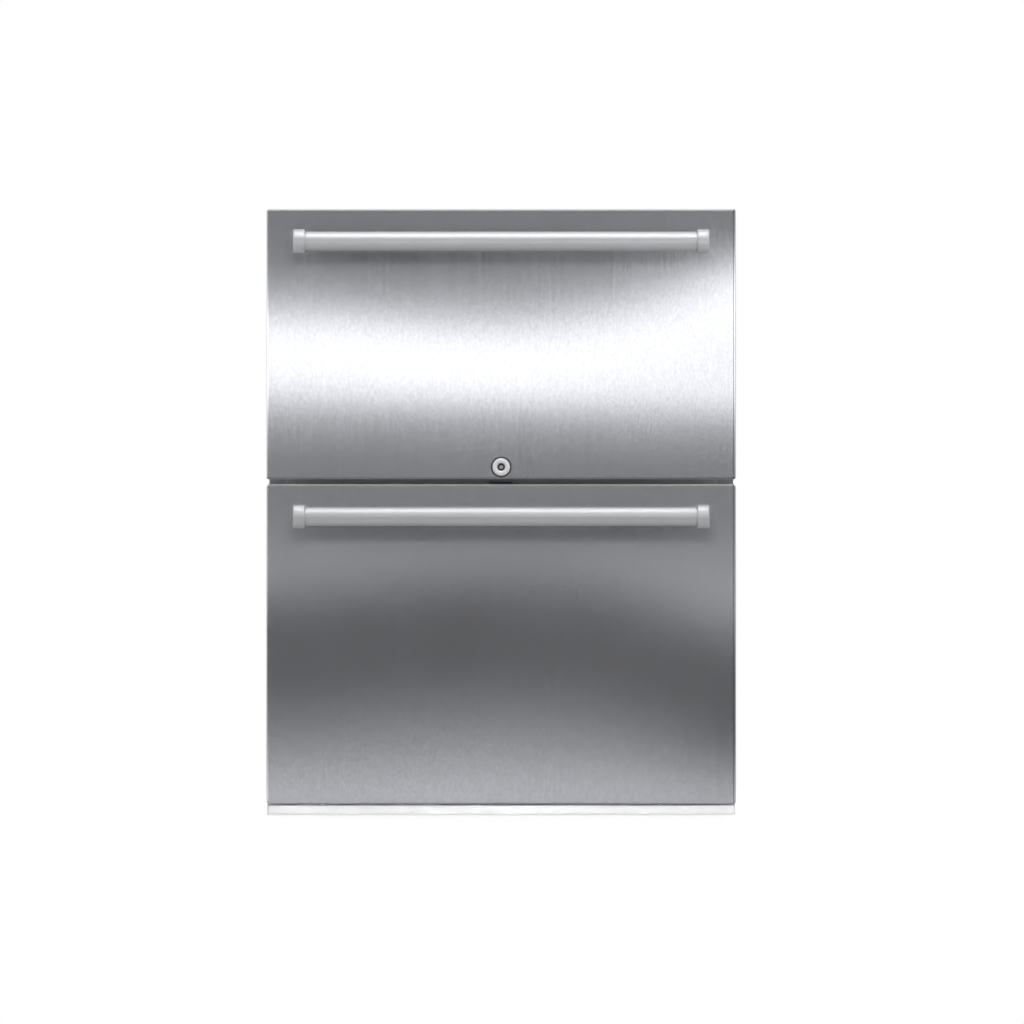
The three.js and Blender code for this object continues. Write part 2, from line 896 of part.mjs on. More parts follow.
// The barrel: a domed bezel on a thin wider ring, and a bored body behind the skin.
function lockBarrel() {
  const bore = plugDiameter / 2 + running;
  const back = skinReturn - skinSheet - seat;
  const bezel = bezelDiameter / 2;
  const ring = bezelRing / 2;
  const ringFace = -seat - bezelRingProud;
  const half = (bezel - bore) / 2;
  const rise = bezelProud + ringFace;
  const radius = (half * half + rise * rise) / (rise * 2);
  const sweep = Math.asin(half / radius);
  const dome = Array.from({ length: bezelSteps + 1 }, (_, i) => {
    const angle = sweep * (i * 2 / bezelSteps - 1);
    return [bore + half + radius * Math.sin(angle), radius * (1 - Math.cos(angle)) - bezelProud];
  });
  return turned([
    ...dome,
    [ring - bezelRingEdge, ringFace],
    [ring, ringFace + bezelRingEdge],
    [ring, -seat],
    [barrelDiameter / 2, -seat],
    [barrelDiameter / 2, back],
    [bore, back],
    dome[0],
  ]);
}

function lockPlug() {
  const face = -bezelProud + plugRecess;
  const plug = plugDiameter / 2;
  const tail = tailDiameter / 2;
  const head = camBack + seat;
  const body = turned([
    [0, face],
    [plug - plugEdge, face],
    [plug, face + plugEdge],
    [plug, skinReturn],
    [tail, skinReturn],
    [tail, head],
    [tail + tailRoom, head],
    [tail + tailRoom, head + tailHead],
    [0, head + tailHead],
  ], shellSides);
  const keyway = block(
    -keyWide / 2,
    keyWide / 2,
    face - through,
    face + keyDepth,
    -keyLong / 2,
    keyLong / 2,
  );
  return carve([body], [keyway]);
}

// At rest the cam lies level; a quarter turn drops its nose behind the strike's lip.
function lockCam() {
  const shape = new THREE.Shape();
  const half = camWidth / 2;
  const nose = camLength - half;
  shape.absarc(0, 0, half, Math.PI / 2, Math.PI * 1.5, false);
  shape.lineTo(nose, -half);
  shape.absarc(nose, 0, half, -Math.PI / 2, Math.PI / 2, false);
  const eye = rod('y', tailDiameter + running * 2, camNear - through, camBack + through, 0, 0);
  return carve([alongY(shape, camNear, camBack)], [eye]);
}

function addLock(drawer) {
  const lock = subGroup(drawer, 0, 0, lockRise);
  place(lock, 'lock_barrel', lockBarrel(), chrome);
  place(lock, 'lock_plug', lockPlug(), chrome);
  place(lock, 'lock_cam', lockCam(), zincPlate);
}

// A bracket on the centre rail that reaches forward between the two fronts.
function lockStrike() {
  const half = strikeSheet / 2;
  const foot = cabinetFront - seat - half;
  const lip = camNear - strikeCamGap - half;
  const line = [[foot, -strikeFootDrop], [foot, 0], [lip, 0], [lip, strikeLipRise]];
  return alongX(foldedSheet(line, strikeSheet, strikeBend), -strikeWidth / 2, strikeWidth / 2);
}

// ---------------------------------------------------------------- cabinet casing

// The outline of a sheet bent over the cabinet: two legs and a top.
function archBand(thickness, footZ) {
  const half = cabinetWidth / 2;
  const path = (edge, z, radius) => [
    [edge, footZ],
    ...roundedPoints(rectangle(-edge, edge, footZ, z), radius).slice(0, (cornerSteps + 1) * 2)
      .map((p) => [p.x, p.y]),
    [-edge, footZ],
  ];
  const outside = path(half, cabinetTop, wrapperBend);
  const inside = path(half - thickness, cabinetTop - thickness, wrapperBend - thickness);
  return shapeOf([...outside, ...inside.reverse()]);
}

function outerWrapper() {
  const flangeFoot = footHeight + trayFrontFlange + seat;
  return carve([
    alongY(archBand(wrapperSheet, footHeight), cabinetFront, rearPlane),
    alongY(archBand(wrapperFlange, flangeFoot), cabinetFront, cabinetFront + wrapperSheet),
  ]);
}

function footPlaces() {
  const x = cabinetWidth / 2 - footInset;
  return [
    ['front_left', -x, cabinetFront + footInset],
    ['front_right', x, cabinetFront + footInset],
    ['rear_left', -x, bodyDepth - footInset],
    ['rear_right', x, bodyDepth - footInset],
  ];
}

const bossDiameter = footStem + running * 2 + bossWall * 2;
const bossHeight = footStemRise + bossCap;

function baseTray() {
  const half = traySheet / 2;
  const z = footHeight + half;
  const back = rearInside - seat - half;
  const section = foldedSheet([
    [cabinetFront + half, footHeight + trayFrontFlange],
    [cabinetFront + half, z],
    [back, z],
    [back, footHeight + trayRearFlange],
  ], traySheet, sheetBend);
  const width = wrapperInside - seat;
  const places = footPlaces();
  return carve([
    alongX(section, -width, width),
    ...places.map(([, x, y]) => rod('z', bossDiameter, footHeight, trayTop + bossHeight, x, y)),
  ], places.map(([, x, y]) => {
    const top = footHeight + footStemRise + running;
    return rod('z', footStem + running * 2, footHeight - through, top, x, y);
  }));
}

// The back panel stays flat with long pressed ribs.
function backPanel() {
  const width = wrapperInside - seat;
  const foot = bulkheadZ + bulkheadSheet + seat;
  const top = cabinetTop - wrapperSheet - seat;
  const plate = rectangle(-width, width, foot, top);
  const ribs = [-1, 0, 1].map((column) => {
    const x = column * (width - backRibFromEdge);
    const rect = rectangle(
      x - backRibWidth / 2,
      x + backRibWidth / 2,
      foot + backRibEnd,
      top - backRibEnd,
    );
    return loft([
      ringAtY(rect, backRibWidth / 2, rearInside + backSheet / 2),
      ringAtY(rect, backRibWidth / 2, rearPlane),
      ringAtY(inset(rect, backRib), backRibWidth / 2, bodyDepth),
    ]);
  });
  const sheet = loft([ringAtY(plate, wrapperBend, rearInside), ringAtY(plate, wrapperBend, rearPlane)]);
  return carve([sheet, ...ribs]);
}

function bulkhead() {
  const half = bulkheadSheet / 2;
  const line = [
    [bulkheadY - half, trayTop + seat],
    [bulkheadY - half, bulkheadZ + half],
    [rearInside - seat, bulkheadZ + half],
  ];
  const width = wrapperInside - seat;
  return alongX(foldedSheet(line, bulkheadSheet, bulkheadBend), -width, width);
}

// The liner's inside, as a stepped section: full depth above the machine compartment only.
function linerSection(grow) {
  return shapeOf([
    [0, linerFloor - grow],
    [linerStepY + grow, linerFloor - grow],
    [linerStepY + grow, linerStepZ - grow],
    [linerRear + grow, linerStepZ - grow],
    [linerRear + grow, linerCeiling + grow],
    [0, linerCeiling + grow],
  ]);
}

function linerBlock(grow) {
  return alongX(linerSection(grow), -linerHalf - grow, linerHalf + grow);
}

function innerLiner() {
  const edge = cabinetWidth / 2 - wrapperFlange - seat;
  const foot = footHeight + trayFrontFlange + seat;
  const top = cabinetTop - wrapperFlange - seat;
  const back = cabinetFront + linerWall;
  const ahead = block(-cabinetWidth, cabinetWidth, -bodyDepth, cabinetFront, -bodyDepth, bodyDepth * 2);
  return carve([
    linerBlock(linerWall),
    block(-edge, edge, cabinetFront, back, foot, top),
  ], [linerBlock(0), ahead]);
}

function insulation() {
  const width = wrapperInside - seat;
  const top = cabinetTop - wrapperSheet - seat;
  const outline = rectangle(-width, width, trayTop + seat, top);
  const front = cabinetFront + linerWall + seat;
  const back = rearInside - seat;
  const bulk = loft([ringAtY(outline, wrapperBend, front), ringAtY(outline, wrapperBend, back)]);
  const room = block(
    -cabinetWidth,
    cabinetWidth,
    bulkheadY - bulkheadSheet - seat,
    bodyDepth,
    0,
    bulkheadZ + bulkheadSheet + seat,
  );
  const bosses = footPlaces().map(([, x, y]) => (
    rod('z', bossDiameter + seat * 2, 0, trayTop + bossHeight + seat, x, y)
  ));
  return carve([bulk], [linerBlock(linerWall + seat), room, ...bosses]);
}

function centreRail() {
  const half = railSheet / 2;
  const near = cabinetFront + half;
  const far = cabinetFront + railDepth;
  const z = railHeight / 2 - half;
  const lip = railLip;
  const line = [[far, lip], [far, z], [near, z], [near, -z], [far, -z], [far, -lip]];
  const width = linerHalf - seat;
  return alongX(foldedSheet(line, railSheet, railBend), -width, width);
}

// ---------------------------------------------------------------- plinth and feet

// A U in plan, round the front and the sides: its legs and its front each have their own depth.
function plinthBand(front, sideDepth, frontDepth) {
  const half = frontWidth / 2 - plinthSideInset;
  const back = rearPlane;
  const corner = roundedPoints(rectangle(-half, half, front, back), plinthCorner)
    .slice((cornerSteps + 1) * 2)
    .map((p) => [p.x, p.y]);
  return shapeOf([
    [-half, back],
    ...corner,
    [half, back],
    [half - sideDepth, back],
    [half - sideDepth, front + frontDepth],
    [-half + sideDepth, front + frontDepth],
    [-half + sideDepth, back],
  ]);
}

// A skirt round the front and sides. Its flange screws up under the base tray, it drops behind the
// lower front, and steps out below that front as a kick strip.
function plinth() {
  const top = footHeight - seat;
  const kickTop = floorReveal - kickGap;
  const flange = cabinetFront - plinthSetback + plinthFlange;
  const shelf = plinthSetback - kickSetback + plinthSheet;
  return carve([
    alongZ(plinthBand(plinthSetback, plinthSheet, plinthSheet), kickTop - plinthSheet, top),
    alongZ(plinthBand(plinthSetback, plinthFlange, flange), top - plinthSheet, top),
    alongZ(plinthBand(kickSetback, plinthSheet, plinthSheet), plinthFloorGap, kickTop),
    alongZ(plinthBand(kickSetback, plinthSheet, shelf), kickTop - plinthSheet, kickTop),
  ]);
}

function levellingFoot() {
  const stem = footStem / 2;
  const nutTop = footHeight - seat;
  const pad = footPad / 2;
  const stemTop = footHeight + footStemRise;
  const body = turned([
    [0, 0],
    [pad - footPadEdge, 0],
    [pad, footPadEdge],
    [pad, footPadRim],
    [footNeck / 2, footPadHeight],
    [stem, footPadHeight + footNeckRise],
    [stem, stemTop],
    [0, stemTop],
  ], smallSides).rotateX(Math.PI / 2);
  const nut = rod('z', footNut, nutTop - footNutHeight, nutTop, 0, 0, nutSides);
  return carve([body, nut]);
}

// ---------------------------------------------------------------- cold side

const coverTop = linerCeiling - coverHead;
const coverBottom = linerStepZ + coverFoot;
const coverBack = linerRear - seat;
const coverFront = coverBack - coverDepth;
const coldFanZ = coverTop - grilleDrop;
const coilWidth = coverWidth - coilSideRoom * 2;

// A slot with round ends, cut through the cover's face.
function coverSlot(x, z, width, height) {
  const slot = rectangle(x - width / 2, x + width / 2, z - height / 2, z + height / 2);
  return loft([
    ringAtY(slot, height / 2, coverFront - through, chamferStep),
    ringAtY(slot, height / 2, coverFront + coverSheet + through, chamferStep),
  ]);
}

// A dished cover with a slotted grille before the fan and return slots along its foot.
function evaporatorCover() {
  const rect = rectangle(-coverWidth / 2, coverWidth / 2, coverBottom, coverTop);
  const ring = (by, y) => ringAtY(inset(rect, by), coverRadius - by, y);
  const shell = loft([
    ...edgeArc(coverEdge).map(([by, y]) => ring(by, coverFront + y)),
    ring(0, coverBack),
    ring(coverSheet, coverBack),
    ring(coverSheet, coverFront + coverEdge),
    ring(coverEdge, coverFront + coverSheet),
  ]);
  const pitch = grilleDiameter / grilleSlots;
  const fanSlots = Array.from({ length: grilleSlots }, (_, i) => {
    const z = (i - (grilleSlots - 1) / 2) * pitch;
    const reach = Math.sqrt((grilleDiameter / 2) ** 2 - z ** 2);
    return coverSlot(0, coldFanZ + z, reach * 2, pitch / 2);
  });
  const spread = coverWidth / (returnSlots + 1);
  const footSlots = Array.from({ length: returnSlots }, (_, i) => {
    const x = (i - (returnSlots - 1) / 2) * spread;
    return coverSlot(x, coverBottom + returnSlotRise, returnSlotWidth, returnSlotHeight);
  });
  return carve([shell], [...fanSlots, ...footSlots]);
}

// Upright fins threaded on a row of level tubes; the two end plates are thicker.
function finnedCoil(length, depth, height, fins, rows) {
  const tubes = Array.from({ length: rows }, (_, i) => (
    rod('x', coilTube, 0, length, depth / 2, ((i + 0.5) / rows) * height, tubeSides)
  ));
  const plates = Array.from({ length: fins }, (_, i) => {
    const thickness = i === 0 || i === fins - 1 ? finThickness * 2 : finThickness;
    const x = (i / (fins - 1)) * (length - finThickness * 2);
    return block(x, x + thickness, 0, depth, 0, height);
  });
  return carve([...tubes, ...plates]);
}

// A fan rotor about Y: pitched blades round a hub with a bore for the motor's shaft.
function fanRotor(diameter, depth) {
  const hub = hubDiameter / 2;
  const tip = diameter / 2;
  const root = hub - bladeRoot;
  const bore = motorShaft / 2 + running;
  const span = ((Math.PI * 2) / bladeCount) * bladeCover;
  const half = bladeThickness / 2;
  const blade = Array.from({ length: fewSteps + 1 }, (_, i) => {
    const share = i / fewSteps;
    const angle = (share - 0.5) * span;
    const y = half + share * (depth - bladeThickness);
    const at = (radius, high) => (
      new THREE.Vector3(radius * Math.cos(angle), high, radius * Math.sin(angle))
    );
    return [at(root, y - half), at(tip, y - half), at(tip, y + half), at(root, y + half)];
  });
  const blades = Array.from({ length: bladeCount }, (_, i) => (
    loft(blade).rotateY((i / bladeCount) * Math.PI * 2)
  ));
  const core = turned([
    [bore, 0],
    [hub - hubEdge, 0],
    [hub, hubEdge],
    [hub, depth],
    [bore, depth],
    [bore, 0],
  ], smallSides);
  return carve([core, ...blades]);
}

// A fan motor about Y, its shaft pointing to -Y through the rotor's bore.
function fanMotor(diameter, length, shaftLength) {
  const r = diameter / 2;
  return turned([
    [0, -shaftLength],
    [motorShaft / 2, -shaftLength],
    [motorShaft / 2, 0],
    [r - motorNose, 0],
    [r, motorNoseDepth],
    [r, length],
    [0, length],
  ], shellSides);
}

function controlConsole() {
  const y = cabinetFront + consoleSetback;
  const rect = rectangle(-consoleWidth / 2, consoleWidth / 2, y, y + consoleDepth);
  const top = linerCeiling - seat;
  const foot = top - consoleHeight;
  return loft([
    ...edgeArc(consoleEdge).map(([by, z]) => ringAtZ(inset(rect, by), consoleCorner - by, foot + z)),
    ringAtZ(rect, consoleCorner, top),
  ]);
}

function addColdSide() {
  const cold = subGroup(refrigerator, 0, 0, 0);
  place(cold, 'evaporator_cover', evaporatorCover(), whitePlastic);
  const coil = finnedCoil(coilWidth, coilDepth, coilHeight, coldFins, coldRows);
  const evaporator = place(cold, 'evaporator_coil', coil, finAluminium);
  evaporator.position.set(-coilWidth / 2, linerRear - seat - coilDepth, coverBottom + coilRise);
  const motorFace = linerRear - seat - coldMotorLength;
  const shaft = coldFanDepth + running;
  const motor = place(cold, 'evaporator_fan_motor',
    fanMotor(coldMotorDiameter, coldMotorLength, shaft), blackPlastic);
  motor.position.set(0, motorFace, coldFanZ);
  const rotor = place(cold, 'evaporator_fan', fanRotor(coldFanDiameter, coldFanDepth), blackPlastic);
  rotor.position.set(0, motorFace - running - coldFanDepth, coldFanZ);
  place(cold, 'control_console', controlConsole(), whitePlastic);
}

// ---------------------------------------------------------------- machine side

const shellX = -cabinetWidth / 2 + shellFromLeft;
const shellY = (bulkheadY + rearInside) / 2;
const floorZ = trayTop + seat;
const coilX1 = cabinetWidth / 2 - hotCoilFromRight;
const coilX0 = coilX1 - hotCoilWidth;
const hotCoilZ = trayTop + bossHeight + seat;
const fanAxisZ = hotCoilZ + hotCoilHeight / 2;
const shroudX1 = coilX0 - seat;
const shellBase = floorZ + mountHeight;

// A hermetic shell with its weld band, a mounting plate on four rubber-shod legs, and pipe stubs.
function compressor() {
  const r = shellDiameter / 2;
  const low = mountPlate;
  const sunk = low - through;
  const seam = low + shellSeamRise;
  const shell = turned([
    [0, sunk],
    [shellFoot / 2, sunk],
    [r - shellSeamProud, low + shellFootRise],
    [r - shellSeamProud, seam - shellSeamHalf],
    [r, seam - shellSeamHalf],
    [r, seam + shellSeamHalf],
    [r - shellSeamProud, seam + shellSeamHalf],
    [r - shellSeamProud, low + shellShoulderRise],
    [shellTopRim / 2, low + shellCrownRise],
    [shellTopFlat / 2, low + shellHeight],
    [0, low + shellHeight],
  ], shellSides).rotateX(Math.PI / 2);
  const spread = rectangle(-mountSpreadX / 2, mountSpreadX / 2, -mountSpreadY / 2, mountSpreadY / 2);
  const plate = inset(spread, -mountDiameter / 2);
  const base = loft([
    ringAtZ(plate, mountDiameter / 2, 0),
    ringAtZ(plate, mountDiameter / 2, mountPlate),
  ]);
  const legs = [[-1, -1], [1, -1], [1, 1], [-1, 1]].map(([sx, sy]) => (
    rod('z', mountDiameter, -mountHeight, through, sx * mountSpreadX / 2, sy * mountSpreadY / 2, legSides)
  ));
  const terminal = block(
    -terminalWidth / 2,
    terminalWidth / 2,
    -r - terminalProud,
    -shellTopFlat / 2,
    low + terminalRise,
    low + terminalRise + terminalHeight,
  );
  const end = r + stubLength;
  const stub = rod('x', stubDiameter, r / 2, end, 0, low + lowStubRise, tubeSides);
  const inlet = rod('x', stubDiameter, r / 2, end, -stubSpread, low + highStubRise, tubeSides);
  return carve([base, shell, terminal, stub, inlet, ...legs]);
}

// A plate on the condenser with a collar round the fan, and a spider that holds the motor in a cup.
function fanShroud() {
  const rect = rectangle(
    shellY - hotCoilDepth / 2,
    shellY + hotCoilDepth / 2,
    floorZ,
    hotCoilZ + hotCoilHeight,
  );
  const outline = shapeOf(roundedPoints(rect, shroudCorner).map((p) => [p.x, p.y]));
  const plate = alongX(outline, shroudX1 - shroudSheet, shroudX1);
  const mouth = hotFanDiameter + fanTipGap;
  const start = shroudX1 - shroudCollar;
  const about = (diameter, from, to) => rod('x', diameter, from, to, shellY, fanAxisZ, roundSides);
  const cupBore = hotMotorDiameter + motorFit * 2;
  const cupOuter = cupBore + cupWall * 2;
  const arms = Array.from({ length: spiderArms }, (_, i) => block(
    start - spiderDepth,
    start + spiderLap,
    -spiderArmWidth / 2,
    spiderArmWidth / 2,
    cupOuter / 2 - cupWall / 2,
    mouth / 2 + shroudSheet / 2,
  ).rotateX((i * Math.PI * 2) / spiderArms).translate(0, shellY, fanAxisZ));
  const duct = carve(
    [plate, about(mouth + shroudSheet * 2, start, shroudX1)],
    [about(mouth, start - through, shroudX1 + through)],
  );
  const cup = carve(
    [about(cupOuter, start - spiderDepth, start)],
    [about(cupBore, start - spiderDepth - through, start + through)],
  );
  return carve([duct, ...arms, cup]);
}

function dripTray() {
  const rect = rectangle(-dripWidth / 2, dripWidth / 2, -dripDepth / 2, dripDepth / 2);
  const ring = (by, z) => ringAtZ(inset(rect, by), dripCorner - by, z);
  return loft([
    ring(dripLean * 2, 0),
    ring(dripLean, dripLean),
    ring(0, dripHeight),
    ring(dripWall, dripHeight),
    ring(dripLean + dripWall, dripLean + dripWall),
    ring(dripLean * 2 + dripWall, dripWall),
  ]);
}

// The louvred cover of the machine compartment, with a notch for the cord inlet.
function rearCover() {
  const width = wrapperInside - seat;
  const foot = trayTop;
  const top = bulkheadZ + bulkheadSheet;
  const plate = rectangle(-width, width, foot, top);
  const sheet = loft([
    ringAtY(plate, coverCorner, rearInside),
    ringAtY(plate, coverCorner, rearPlane),
  ]);
  const middle = (foot + top) / 2;
  const hoods = [];
  const slots = [];
  for (let row = 0; row < coverLouvres; row += 1) {
    const z = middle + (row - (coverLouvres - 1) / 2) * louvrePitch;
    [-1, 1].forEach((side) => {
      const x = side * (louvreWidth + louvreSpacing) / 2;
      const near = x - louvreWidth / 2;
      const far = x + louvreWidth / 2;
      const lip = bodyDepth - louvreSheet;
      const line = [
        [rearInside + louvreSheet / 2, z + louvreOpen / 2 + louvreHood],
        [lip, z],
        [lip, z - louvreOpen / 2],
      ];
      hoods.push(alongX(foldedSheet(line, louvreSheet), near, far));
      slots.push(block(
        near + louvreSideLap,
        far - louvreSideLap,
        rearInside - through,
        rearPlane + through,
        z - louvreOpen / 2,
        z + louvreOpen / 2,
      ));
    });
  }
  const inlet = inset(inletRect(), -seat);
  slots.push(loft([
    ringAtY(inlet, inletCorner, rearInside - through),
    ringAtY(inlet, inletCorner, rearPlane + through),
  ]));
  return carve([carve([sheet], slots), ...hoods]);
}

function inletRect() {
  const x = -cabinetWidth / 2 + inletFromLeft;
  const z = footHeight + trayRearFlange + inletHeight;
  return rectangle(x - inletWidth / 2, x + inletWidth / 2, z - inletHeight / 2, z + inletHeight / 2);
}

// A recessed appliance inlet for a detachable cord: a cup with a flange and three pins in it.
function cordInlet() {
  const rect = inletRect();
  const from = rearPlane - inletDepth;
  const flange = inset(rect, -inletFlange);
  const mouth = inset(rect, inletWall);
  const floorY = from + inletFloor;
  const cup = loft([
    ringAtY(rect, inletCorner, from),
    ringAtY(rect, inletCorner, rearPlane + seat),
    ringAtY(flange, inletCorner, rearPlane + seat),
    ringAtY(flange, inletCorner, bodyDepth),
    ringAtY(mouth, inletCorner, bodyDepth),
    ringAtY(mouth, inletCorner, floorY),
  ]);
  const middleX = (rect.left + rect.right) / 2;
  const middleZ = (rect.bottom + rect.top) / 2;
  const pins = Array.from({ length: inletPins }, (_, i) => {
    const x = middleX + (i - (inletPins - 1) / 2) * inletPinPitch;
    return block(
      x - inletPinWidth / 2,
      x + inletPinWidth / 2,
      floorY - through,
      rearPlane - inletPinDrop,
      middleZ - inletPinHeight / 2,
      middleZ + inletPinHeight / 2,
    );
  });
  return carve([cup, ...pins]);
}

function addMachineSide() {
  const machine = subGroup(refrigerator, 0, 0, 0);
  const pump = place(machine, 'compressor', compressor(), blackPaint);
  pump.position.set(shellX, shellY, shellBase);
  const tray = place(machine, 'drip_tray', dripTray(), blackPlastic);
  const shellTop = shellBase + mountPlate + shellHeight;
  tray.position.set(shellX, shellY, shellTop + seat);

  const coil = finnedCoil(hotCoilDepth, hotCoilWidth, hotCoilHeight, hotFins, hotCoilRows);
  const condenser = place(machine, 'condenser_coil', coil, finAluminium);
  condenser.rotation.z = Math.PI / 2;
  condenser.position.set(coilX1, shellY - hotCoilDepth / 2, hotCoilZ);
  place(machine, 'condenser_fan_shroud', fanShroud(), blackPlastic);

  const motorX = shroudX1 - shroudCollar + seat;
  const fan = subGroup(machine, motorX, shellY, fanAxisZ);
  fan.rotation.z = -Math.PI / 2;
  const reach = hotFanDepth + running;
  const motor = fanMotor(hotMotorDiameter, hotMotorLength, reach).rotateX(Math.PI);
  place(fan, 'condenser_fan_motor', motor, darkSteel);
  const rotor = place(fan, 'condenser_fan', fanRotor(hotFanDiameter, hotFanDepth), blackPlastic);
  rotor.position.y = running;

  place(machine, 'rear_cover', rearCover(), cabinetPaint);
  place(machine, 'cord_inlet', cordInlet(), blackPlastic);
  addPipes(machine);
}

// Copper lines between the compressor, the condenser, the drier and the cabinet wall.
function addPipes(machine) {
  const point = (x, y, z) => new THREE.Vector3(x, y, z);
  const stubX = shellX + shellDiameter / 2 + stubLength + seat;
  const lowStubZ = shellBase + mountPlate + lowStubRise;
  const highStubZ = shellBase + mountPlate + highStubRise;
  const wallY = bulkheadY + seat;
  const tubeStep = hotCoilHeight / hotCoilRows;
  const firstTubeZ = hotCoilZ + hotCoilHeight - tubeStep / 2;
  const lastTubeZ = hotCoilZ + tubeStep / 2;
  const coilMid = (coilX0 + coilX1) / 2;
  const coilBack = shellY + hotCoilDepth / 2 + seat;
  const coilFront = shellY - hotCoilDepth / 2 - seat;
  const over = hotCoilZ + hotCoilHeight + pipeDiameter * 2;
  const turnY = coilBack + pipeTurn;

  place(machine, 'discharge_line', pipe([
    point(stubX, shellY, lowStubZ),
    point(stubX + dischargeReach, shellY, lowStubZ),
    point(stubX + dischargeReach, shellY, over),
    point(coilMid, shellY, over),
    point(coilMid, turnY, over),
    point(coilMid, turnY, firstTubeZ),
    point(coilMid, coilBack, firstTubeZ),
  ], pipeDiameter), copper);

  place(machine, 'suction_line', pipe([
    point(stubX, shellY - stubSpread, highStubZ),
    point(stubX + suctionReach, shellY - stubSpread, highStubZ),
    point(stubX + suctionReach, wallY, highStubZ),
  ], pipeDiameter), copper);

  const runY = wallY + pipeDiameter / 2 + pipeStandOff;
  const drierX = stubX + drierReach;
  const drierY = wallY + drierDiameter / 2;
  const drierFoot = lastTubeZ + pipeDiameter * 2;
  const lineTop = drierFoot + drierLength + pipeDiameter * 2;
  const line = pipe([
    point(coilMid, coilFront, lastTubeZ),
    point(coilMid, runY, lastTubeZ),
    point(drierX + drierDiameter, runY, lastTubeZ),
    point(drierX, drierY, lastTubeZ),
    point(drierX, drierY, lineTop),
    point(drierX, wallY, lineTop),
  ], pipeDiameter);
  const capsule = turned([
    [0, 0],
    [drierNeck / 2, 0],
    [drierDiameter / 2, drierCone],
    [drierDiameter / 2, drierLength - drierCone],
    [drierNeck / 2, drierLength],
    [0, drierLength],
  ], smallSides).rotateX(Math.PI / 2).translate(drierX, drierY, drierFoot);
  place(machine, 'filter_drier', carve([line, capsule]), copper);
}

// ---------------------------------------------------------------- put together

const cuts = lockCuts();
const upperHatBottom = innerPanelInset;
const lowerHatBottom = footHeight + gasketInset - floorReveal;
const fullDepth = coverFront - binRearGap - frontThickness;
const steppedDepth = linerStepY - binRearGap - frontThickness;

const upperDrawer = addDrawer('upper', {
  bottom: upperFrontBottom,
  height: upperFrontHeight,
  hatBottom: upperHatBottom,
  binBottom: railTop + binFloorGap,
  binHeight: upperBinHeight,
  binDepth: fullDepth,
  skinCuts: cuts.skin,
  panelCuts: cuts.panel,
  coreCuts: cuts.core,
});
addLock(upperDrawer);

addDrawer('lower', {
  bottom: floorReveal,
  height: lowerFrontHeight,
  hatBottom: lowerHatBottom,
  binBottom: linerFloor + binFloorGap,
  binHeight: lowerBinHeight,
  binDepth: steppedDepth,
});

place(refrigerator, 'outer_wrapper', outerWrapper(), cabinetPaint);
place(refrigerator, 'back_panel', backPanel(), galvanised);
place(refrigerator, 'base_tray', baseTray(), galvanised);
place(refrigerator, 'machine_bulkhead', bulkhead(), galvanised);
place(refrigerator, 'inner_liner', innerLiner(), whitePlastic);
place(refrigerator, 'insulation_foam', insulation(), foam);
place(refrigerator, 'centre_rail', centreRail(), cabinetPaint).position.z = railCentre;
place(refrigerator, 'lock_strike', lockStrike(), zincPlate).position.z = railCentre;
place(refrigerator, 'plinth', plinth(), palePaint);

footPlaces().forEach(([corner, x, y]) => {
  const foot = place(refrigerator, `levelling_foot_${corner}`, levellingFoot(), blackPlastic);
  foot.position.set(x, y, 0);
});

addColdSide();
addMachineSide();

export default refrigerator;
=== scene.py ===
# Looks of the undercounter drawer refrigerator: materials, handles, fittings, camera and light.
# Metres, +Z up, the front looks along -Y, and the origin is on the floor.

import json
import math

import bmesh
import bpy
from mathutils import Matrix, Vector


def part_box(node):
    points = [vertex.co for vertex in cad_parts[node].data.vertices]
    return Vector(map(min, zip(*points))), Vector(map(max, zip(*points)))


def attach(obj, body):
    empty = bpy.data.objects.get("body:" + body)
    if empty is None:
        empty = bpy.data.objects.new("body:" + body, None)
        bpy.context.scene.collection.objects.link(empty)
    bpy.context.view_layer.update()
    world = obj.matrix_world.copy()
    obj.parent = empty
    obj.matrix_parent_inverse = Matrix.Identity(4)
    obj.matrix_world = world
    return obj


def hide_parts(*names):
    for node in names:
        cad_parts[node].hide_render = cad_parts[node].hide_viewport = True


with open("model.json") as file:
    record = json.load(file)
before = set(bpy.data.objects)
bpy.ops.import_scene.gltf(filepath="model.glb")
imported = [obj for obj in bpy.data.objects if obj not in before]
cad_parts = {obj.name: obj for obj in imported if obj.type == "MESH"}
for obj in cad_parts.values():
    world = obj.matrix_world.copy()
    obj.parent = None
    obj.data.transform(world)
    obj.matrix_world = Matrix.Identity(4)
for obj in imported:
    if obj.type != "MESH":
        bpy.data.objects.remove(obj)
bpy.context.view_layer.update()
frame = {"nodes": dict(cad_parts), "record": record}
nodes = frame["nodes"]
scene = bpy.context.scene


# ---------------------------------------------------------------- camera

# The size of a pixel on the fronts, and where the object's middle and its floor are in the picture.
PIXEL = 0.0012905
PICTURE = 1024
CENTRE_PIXEL_X = 501.2
FLOOR_PIXEL_Y = 815.3
CAMERA_DISTANCE = 25.0
SENSOR = 36.0
CLIP_NEAR = 0.1
CLIP_FAR = 100.0


